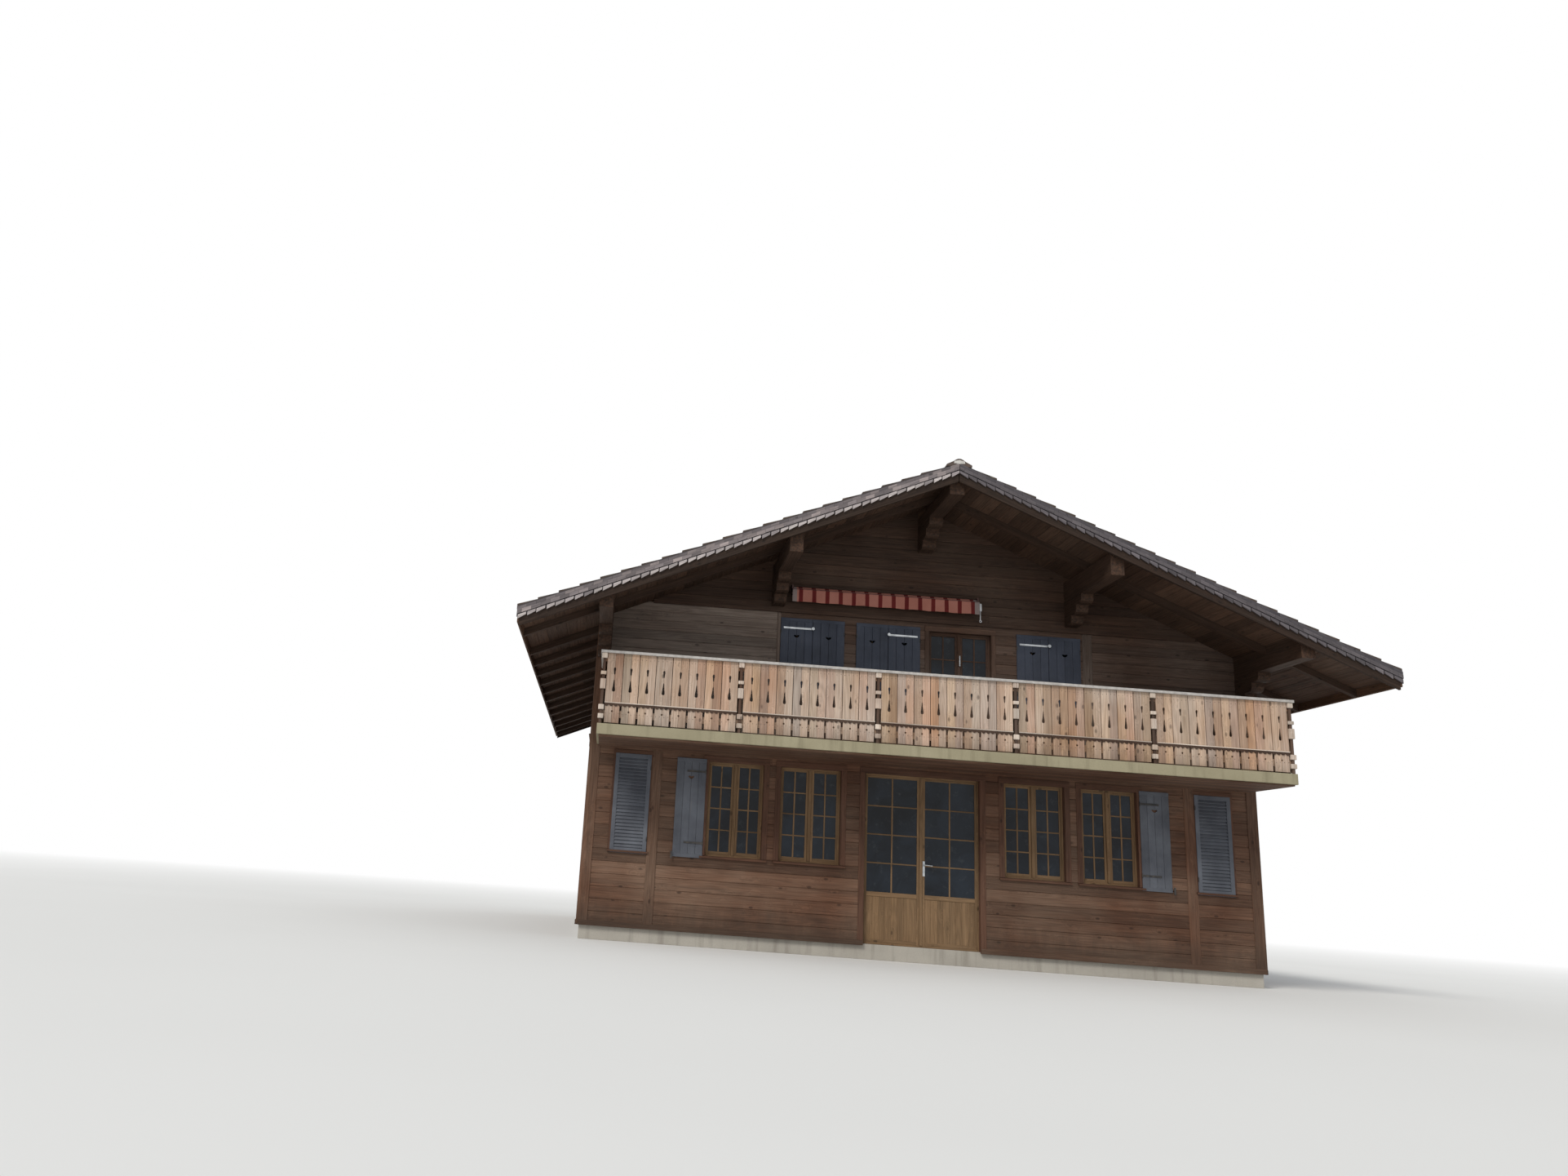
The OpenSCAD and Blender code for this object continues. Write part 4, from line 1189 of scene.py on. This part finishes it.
def balcony_columns():
    """carved columns between the panels: broad blocks one over the other on a slender shaft, whose dark wood
    paints shade and dirt in the recesses
    """
    broad, slender = Shape(), Shape()
    for i in range(PANELS + 1):
        column_blocks(broad, column_middle(i))
        column_shaft(slender, column_middle(i))
    ease(broad, 0.007, all_edges=True, segments=2)
    piece(broad, "balcony_column_blocks", SAWN, ["balcony_posts"])
    inner_posts(slender)
    ease(slender, 0.004)
    # the shafts' dark upper-storey wood is painted shade and dirt between the blocks
    piece(slender, "balcony_shafts_and_posts", UPPER)


LATH_TEETH, SOFFIT_BOARDS = 29, 10


def laths():
    """a thin lath over the foot of each panel: a pale bead, and a row of small teeth under it in dark wood,
    which paints the shadows that the teeth cast
    """
    toothed, bead = Shape(), Shape()
    low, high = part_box("balcony_lath")
    length = PANEL_W - 0.006
    pitch = length / LATH_TEETH
    root, shoulder = low.z + 0.022, high.z - 0.013
    for i in range(PANELS):
        x0, x1 = panel_middle(i) - length / 2, panel_middle(i) + length / 2
        outline = [(x1, shoulder), (x0, shoulder)]
        for k in range(LATH_TEETH):
            a = x0 + k * pitch
            outline += [(a, root), (a + 0.3 * pitch, low.z + 0.003), (a + 0.5 * pitch, low.z),
                        (a + 0.7 * pitch, low.z + 0.003)]
        outline += [(x1, root)]
        points = [Vector((x, low.y + 0.003, z)) for x, z in outline]
        prism(toothed, points, Vector((0, high.y - low.y - 0.003, 0)), RUN_X, tone=0.25)
        block(bead, (x0, low.y, shoulder), (x1, high.y, high.z), RUN_X, wear=0.8)
    ease(bead, 0.003, segments=2)
    # the teeth take the dark gable wood as painted shadow
    piece(toothed, "balcony_lath_teeth", GABLE, ["balcony_lath"])
    piece(bead, "balcony_lath_bead", SAWN)


def balcony_boards():
    """all the wood of the balcony, and the nails in it"""
    heads = Shape()
    front_panels(heads)
    side_panels(heads)
    piece(heads, "balcony_nails", IRON)
    balcony_columns()
    laths()


def ease_fronts(shape):
    """rounds the outline of every sawn board a little"""
    bm = shape.gather()
    edges = []
    for edge in bm.edges:
        if len(edge.link_faces) == 2 and edge.calc_face_angle(0) > 0.5:
            way = edge.verts[1].co - edge.verts[0].co
            faces = sorted(edge.link_faces, key=lambda f: f.calc_area())
            if way.length > 0.0045 and len(faces[1].verts) > 8:
                edges.append(edge)
    bevel(bm, edges, BOARD_FRONT_EASE)


def soffit():
    """boards under the balcony floor, laid along the house"""
    low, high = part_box("balcony_soffit")
    wide = (high.y - low.y) / SOFFIT_BOARDS
    shape = Shape()
    for i in range(SOFFIT_BOARDS):
        y = low.y + i * wide
        for x0, x1 in lengths(low.x, high.x, 4.6):
            block(shape, (x0 + 0.001, y + 0.001, low.z), (x1 - 0.001, y + wide - 0.001, high.z), RUN_X)
    ease(shape, 0.004)
    piece(shape, "soffit_boards", WALL, ["balcony_soffit"])


# roof

def down_slope(side, x, depth, y):
    """a point under the roof line, on the right slope for 1 and on the left for -1"""
    return Vector((side * x, y, roof_line(x) - depth))


def slope_block(shape, side, x0, x1, top, bottom, y0, y1, run, wear=0.0, tone=None):
    """a board that follows the roof: top and bottom are depths under the roof line at its two ends"""
    outline = [down_slope(side, x0, top[0], y0), down_slope(side, x1, top[1], y0),
               down_slope(side, x1, bottom[1], y0), down_slope(side, x0, bottom[0], y0)]
    return prism(shape, outline, Vector((0, y1 - y0, 0)), run, wear, tone)


def slope_run(side):
    """the way down a slope"""
    return Vector((side, 0, -SLOPE)) / LINE_LENGTH


TILE_COLUMNS, TILE_THICK, TILE_JOINT = 40, 0.022, 0.002


def tile(shape, side, ends, y0, y1):
    """one flat tile with a raised rib along one edge"""
    x0, x1 = ends
    lift, tone = dice.uniform(0.004, 0.009), dice.random()
    top = (COURSE_STEP - lift + 0.002, -lift)
    bottom = (COURSE_STEP + 0.004, TILE_THICK - lift)
    rib = (top[0] - 0.007, top[1] - 0.008)
    run = slope_run(side)
    slope_block(shape, side, x0 - 0.012, x1, top, bottom, y0 + TILE_JOINT, y1 - TILE_JOINT, run, tone=tone)
    slope_block(shape, side, x0 - 0.01, x1 - 0.004, rib, top, y1 - 0.032, y1 - 0.004, run, tone=tone)


def tiles(side, name):
    """courses of tiles laid in half bond"""
    shape = Shape()
    wide = (COVER_Y1 - COVER_Y0) / TILE_COLUMNS
    for course in range(COURSES):
        x0 = FIRST_COURSE + course * COURSE
        x1 = min(x0 + COURSE + 0.005, EAVE - 0.001)
        starts = [COVER_Y0 + i * wide for i in range(TILE_COLUMNS)]
        if course % 2:
            starts = [COVER_Y0] + [s + wide / 2 for s in starts]
        for y0, y1 in zip(starts, starts[1:] + [COVER_Y1]):
            tile(shape, side, (x0, x1), y0, y1)
    piece(shape, name, TILES)


RIDGE_EXPOSURE, RIDGE_LAP = 0.352, 0.03


def mirrored(half):
    """an outline across the ridge from its right half, left end first"""
    return [(-x, z) for x, z in reversed(half)] + half


def ridge_tiles():
    """angled tiles over the ridge, each lying a little over the next"""
    shape = Shape()
    count = round((VERGE_Y1 - VERGE_Y0) / RIDGE_EXPOSURE)
    pitch = (VERGE_Y1 - VERGE_Y0) / count
    outline = mirrored([(0.018, ROOF_TOP), (0.045, ROOF_TOP - 0.012), (0.09, roof_line(0.09) + 0.02),
                        (0.168, roof_line(0.17) + 0.014), (0.17, roof_line(0.17) - 0.012)])
    for i in range(count):
        y0 = max(VERGE_Y0 + i * pitch, VERGE_Y0 + 0.008)
        y1 = min(VERGE_Y0 + (i + 1) * pitch + RIDGE_LAP, VERGE_Y1 - 0.008)
        verts = prism(shape, [Vector((x, y0, z)) for x, z in outline], RUN_Y * (y1 - y0), RUN_Y)
        for v in verts:
            if v.co.y > (y0 + y1) / 2:
                v.co.z -= 0.011
                v.co.x *= 0.955
    piece(shape, "ridge_tiles", TILES, ["ridge_cap"])


def ridge_mortar():
    """a pale plug of mortar under the ridge tile at both ends"""
    shape = Shape()
    half = [(0.04, ROOF_TOP - 0.03), (0.07, RIDGE - 0.01), (0.075, RIDGE - 0.045)]
    left = [(-x, z) for x, z in reversed(half)]
    outline = [*left, (0, ROOF_TOP - 0.02), *half, (0, RIDGE - 0.052)]
    for y in (VERGE_Y0, VERGE_Y1 - 0.03):
        prism(shape, [Vector((x, y, z)) for x, z in outline], RUN_Y * 0.03, RUN_X)
    ease(shape, 0.004, all_edges=True)
    piece(shape, "ridge_end_mortar", MORTAR)


VERGE_TEETH = 48
# how far the verge stops short of the ridge and the eave, and how deep its shingles lie
VERGE_SHORT, SHINGLE_DEEP = 0.005, 0.02
VERGE_PITCH = (EAVE - 2 * VERGE_SHORT) / VERGE_TEETH
# upper and lower edge of each row under the roof line, how much it has bleached, and its brightest tone; the
# upper row's low brightest tone paints the shade under the tile ends
SHINGLE_ROWS = ((0.040, 0.090, 0.0, 0.45), (0.082, 0.131, 0.08, 1.0))
TOOTH_TOP, TOOTH_FOOT = (0.145, 0.147), (0.176, 0.199)


def shingle_rows(shape, side, y_out, way):
    """two rows of small shingles in half bond, paler on the left slope as painted sunlight and duller on the
    right as painted shade
    """
    sunny = side < 0
    for row, (high, low, wear, brightest) in enumerate(SHINGLE_ROWS):
        shift = 0.5 * VERGE_PITCH if row % 2 else 0.0
        for i in range(-1 if shift else 0, VERGE_TEETH):
            x0 = max(0.004, VERGE_SHORT + i * VERGE_PITCH + shift)
            x1 = min(VERGE_SHORT + (i + 1) * VERGE_PITCH + shift, EAVE - VERGE_SHORT) - 0.002
            y0 = y_out + way * (0.004 - 0.002 * row + dice.uniform(0, 0.0015))
            foot = low + dice.uniform(-0.003, 0.003)
            # the extra wear on the left slope is painted sunlight, and the halved tone on the right slope is
            # painted shade
            bleached = wear + 0.22 + dice.choice((0.0, 0.0, 0.1, 0.4)) if sunny else wear
            tone = dice.uniform(0, brightest if sunny else 0.5 * brightest)
            slope_block(shape, side, x0, x1, (high, high), (foot, foot),
                        *sorted((y0, y_out + way * SHINGLE_DEEP)), slope_run(side), bleached, tone)


def verge_teeth(shape, side, y_out, way):
    """the lowest row, whose shingles end in a slant each"""
    for i in range(VERGE_TEETH):
        x0 = VERGE_SHORT + i * VERGE_PITCH
        x1 = VERGE_SHORT + (i + 1) * VERGE_PITCH - dice.uniform(0.008, 0.022)
        y0 = y_out + way * dice.uniform(0, 0.0015)
        # random bleaching on the left slope is painted sunlight; the right slope's teeth stay dull as
        # painted shade
        slope_block(shape, side, x0, x1, TOOTH_TOP, TOOTH_FOOT, *sorted((y0, y_out + way * SHINGLE_DEEP)),
                    slope_run(side), wear=dice.uniform(0.0, 0.7) if side < 0 else 0.08)


def verge_backing(shape, side, y_out, way):
    """a board behind the rows at the darkest tone, which paints shade in the groove and between the teeth"""
    slope_block(shape, side, 0.004, EAVE - 0.004, (0.025, 0.025), (0.168, 0.168),
                *sorted((y_out + way * 0.019, y_out + way * 0.025)), slope_run(side), tone=0.0)


def verge_shingles():
    """two rows of grey shingles, a groove and a row of teeth along each sloping edge of the roof"""
    shape, pale = Shape(), Shape()
    for y_out, way in ((VERGE_Y0, 1), (VERGE_Y1, -1)):
        for side in (-1, 1):
            shingle_rows(shape, side, y_out, way)
            # the left slope's teeth take the pale finish as painted sunlight, the right slope's the grey one
            # as painted shade
            verge_teeth(pale if side < 0 else shape, side, y_out, way)
            verge_backing(shape, side, y_out, way)
    piece(shape, "verge_shingle_rows", SHINGLES, ["verge_trim"])
    piece(pale, "verge_teeth", SUNLIT_PALE_SHINGLES)


ROOF_BOARDS = 42


def boarding():
    """boards seen from below between the rafters and under the overhangs"""
    shape = Shape()
    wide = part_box("roof_deck_right")[1].x / ROOF_BOARDS
    top, bottom = (DECK_LOW - 0.004,) * 2, (DECK_LOW + 0.008,) * 2
    for side in (-1, 1):
        for i in range(ROOF_BOARDS):
            x0 = i * wide
            for y0, y1 in lengths(COVER_Y0, COVER_Y1, 4.4):
                slope_block(shape, side, x0 + 0.001, x0 + wide - 0.001, top, bottom, y0 + 0.001, y1 - 0.001,
                            RUN_Y)
    ease(shape, 0.0035)
    piece(shape, "boards_under_roof", TIMBER)


# awning

# the long and the short wave in the hanging cloth, in radians for each metre
LONG_WAVE, SHORT_WAVE = 2 * math.pi / 0.38, 2 * math.pi / 0.17


def valance():
    """the striped cloth that hangs from the front bar of the awning"""
    low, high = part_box("awning_valance")
    width, drop = high.x - low.x, high.z - low.z
    bm = bmesh.new()
    bmesh.ops.create_grid(bm, x_segments=140, y_segments=10, size=0.5)
    for v in bm.verts:
        a, down = v.co.x + 0.5, 0.5 - v.co.y
        x = low.x + a * width
        wave = 0.008 * math.sin(x * LONG_WAVE) + 0.004 * math.sin(x * SHORT_WAVE + 1.0)
        hem = 0.985 + 0.015 * math.cos(x * LONG_WAVE)
        v.co = (x, (low.y + high.y) / 2 + wave * down, high.z - down * drop * hem)
    bmesh.ops.recalc_face_normals(bm, faces=bm.faces[:])
    for face in bm.faces:
        face.smooth = True
    made = hand_over(bm, "awning_valance_cloth", CLOTH, ["awning_valance"])
    skin = made.modifiers.new("cloth", "SOLIDIFY")
    skin.thickness, skin.offset = 0.0014, 0


ARM_RADIUS, PIVOT_SIDES = 0.013, 14


def awning_arms():
    """two folded arms behind the valance"""
    shape = Shape()
    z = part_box("awning_roll")[0].z - 0.027
    y = FRONT - 0.16
    for x0, x1 in ((-1.88, -0.72), (0.69, -0.47)):
        rod(shape, (x0, y + 0.05, z), (x1, y, z), ARM_RADIUS)
        rod(shape, (x1, y - 0.026, z), (x0 + (x1 - x0) * 0.1, y - 0.03, z + 0.012), ARM_RADIUS)
        rod(shape, (x1, y - 0.013, z - 0.022), (x1, y - 0.013, z + 0.022), 0.024, PIVOT_SIDES, RUN_Z)
        rod(shape, (x0, y + 0.045, z - 0.02), (x0, y + 0.045, z + 0.02), 0.02, PIVOT_SIDES, RUN_Z)
    piece(shape, "awning_arms", PALE_METAL)


# finishes of the solids that stay as they are

def dress():
    """gives every solid that shows its own finish"""
    finishes = {
        BASE: ["plinth"],
        SLAB: ["floor_slab"],
        INNER_X: ["front_wall_ground_piers", "front_wall_ground_aprons", "front_wall_ground_head",
                  "back_wall_ground", "front_wall_upper_piers", "front_wall_upper_aprons", "gable_front",
                  "back_wall_upper"],
        INNER_Y: ["left_wall_ground", "right_wall_ground", "left_wall_upper", "right_wall_upper",
                  "belt_boards", "eaves_boards"],
        PURLIN: ["ridge_purlin", "mid_purlins", "eave_purlins", "purlin_consoles"],
        RAFTER: ["rafters"],
        BARGE: ["barge_boards"],
        DECK: ["roof_deck_left", "roof_deck_right"],
        TILES: ["roof_covering_left", "roof_covering_right"],
        CAP: ["balcony_rail_cap"],
        GLASS: ["glass_front", "glass_sides_back"],
        BRIGHT: ["balcony_door_handle", "shutter_bars"],
        FRAME_METAL: ["awning_frame"],
        CLOTH: ["awning_roll"],
    }
    for material, names in finishes.items():
        for name in names:
            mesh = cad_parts[name].data
            mesh.materials.clear()
            mesh.materials.append(material)


def soften(names, width):
    """rounds the sharp edges of solids that stay"""
    for name in names:
        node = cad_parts[name]
        weld = node.modifiers.new("weld", "WELD")
        weld.merge_threshold = 0.0001
        eased = node.modifiers.new("bevel", "BEVEL")
        eased.width, eased.segments = width, 2
        eased.limit_method, eased.angle_limit = "ANGLE", math.radians(35)


# stage

def floor():
    """a pale floor that turns white far from the house, where the camera sees it"""
    bm = bmesh.new()
    bmesh.ops.create_circle(bm, cap_ends=True, segments=96, radius=120)
    mesh = bpy.data.meshes.new("stage_floor")
    bm.to_mesh(mesh)
    bm.free()
    f = Finish("pale_floor", rough=0.9, specular=0.1)
    f.colour(f.mix(f.noise(f.place, scale=0.2, detail=2), tint("e3e3e1"), tint("e8e8e6")))
    far = f.level(f.vector("LENGTH", f.place), 16.0, 60.0)
    seen = f.math("MULTIPLY", far, f.node("ShaderNodeLightPath").outputs["Is Camera Ray"])
    white, both = f.node("ShaderNodeEmission"), f.node("ShaderNodeMixShader")
    for socket, value in zip(both.inputs, (seen, f.shader.outputs[0], white.outputs[0])):
        f.feed(socket, value)
    f.feed(f.tree.nodes["Material Output"].inputs["Surface"], both.outputs[0])
    mesh.materials.append(f.mat)
    in_scene("stage_floor", mesh)


def surround():
    """an even pale world, and white where the camera, gloss or glass sees past the house"""
    world = bpy.data.worlds.new("surround")
    bpy.context.scene.world = world
    world.use_nodes = True
    tree = world.node_tree
    tree.nodes.clear()
    add = tree.nodes.new
    path, fill, white = add("ShaderNodeLightPath"), add("ShaderNodeBackground"), add("ShaderNodeBackground")
    seen, also = add("ShaderNodeMath"), add("ShaderNodeMath")
    both, out = add("ShaderNodeMixShader"), add("ShaderNodeOutputWorld")
    seen.operation = also.operation = "MAXIMUM"
    fill.inputs["Color"].default_value = (0.93, 0.96, 1.0, 1)
    fill.inputs["Strength"].default_value = 0.62
    white.inputs["Color"].default_value = (1, 1, 1, 1)
    white.inputs["Strength"].default_value = 1.0
    for start, end in ((path.outputs["Is Camera Ray"], seen.inputs[0]),
                       (path.outputs["Is Glossy Ray"], seen.inputs[1]),
                       (seen.outputs[0], also.inputs[0]),
                       (path.outputs["Is Transmission Ray"], also.inputs[1]),
                       (also.outputs[0], both.inputs[0]),
                       (fill.outputs[0], both.inputs[1]),
                       (white.outputs[0], both.inputs[2]),
                       (both.outputs[0], out.inputs[0])):
        tree.links.new(start, end)


def soft_sun():
    """one broad lamp from the left of the front"""
    lamp = bpy.data.lights.new("soft_sun", "SUN")
    lamp.energy, lamp.angle = 1.7, math.radians(18)
    lamp.color = (1.0, 0.96, 0.9)
    made = in_scene("soft_sun", lamp)
    made.rotation_mode = "QUATERNION"
    made.rotation_quaternion = Vector((0.55, 0.75, -0.85)).to_track_quat("-Z", "Y")


def camera():
    """the photograph's viewing angle: level heading into the depth, looking up, and rolled a little"""
    pitch, roll = math.radians(14.5), math.radians(4.2)
    forward = Vector((0, math.cos(pitch), math.sin(pitch)))
    level_up = Vector((0, -math.sin(pitch), math.cos(pitch)))
    right = RUN_X * math.cos(roll) + level_up * math.sin(roll)
    up = level_up * math.cos(roll) - RUN_X * math.sin(roll)
    data = bpy.data.cameras.new("camera")
    data.sensor_width, data.lens, data.shift_x = 36, 26, 0.1
    made = in_scene("camera", data)
    made.rotation_mode = "QUATERNION"
    made.rotation_quaternion = Matrix((right, up, -forward)).transposed().to_quaternion()
    made.location = (-4.307, -20.12, 0.78)
    bpy.context.scene.camera = made


def main():
    """makes the looks of the building from the wall out, and the stage at the end"""
    bpy.context.scene.view_settings.view_transform = "Standard"
    camera()
    front_boards()
    gable_boards()
    side_and_back_boards()
    corner_and_drip_boards()
    front_windows()
    terrace_door_handle()
    other_windows()
    balcony_door_leaf()
    front_shutters()
    front_hinges()
    open_shutters()
    balcony_boards()
    soffit()
    tiles(1, "tiles_right")
    tiles(-1, "tiles_left")
    ridge_tiles()
    ridge_mortar()
    verge_shingles()
    boarding()
    valance()
    awning_arms()
    dress()
    soften(["floor_slab", "plinth"], 0.006)
    soften(["barge_boards", "eaves_boards", "belt_boards", "balcony_rail_cap"], 0.004)
    soften(["ridge_purlin", "mid_purlins", "purlin_consoles"], 0.008)
    floor()
    surround()
    soft_sun()


main()
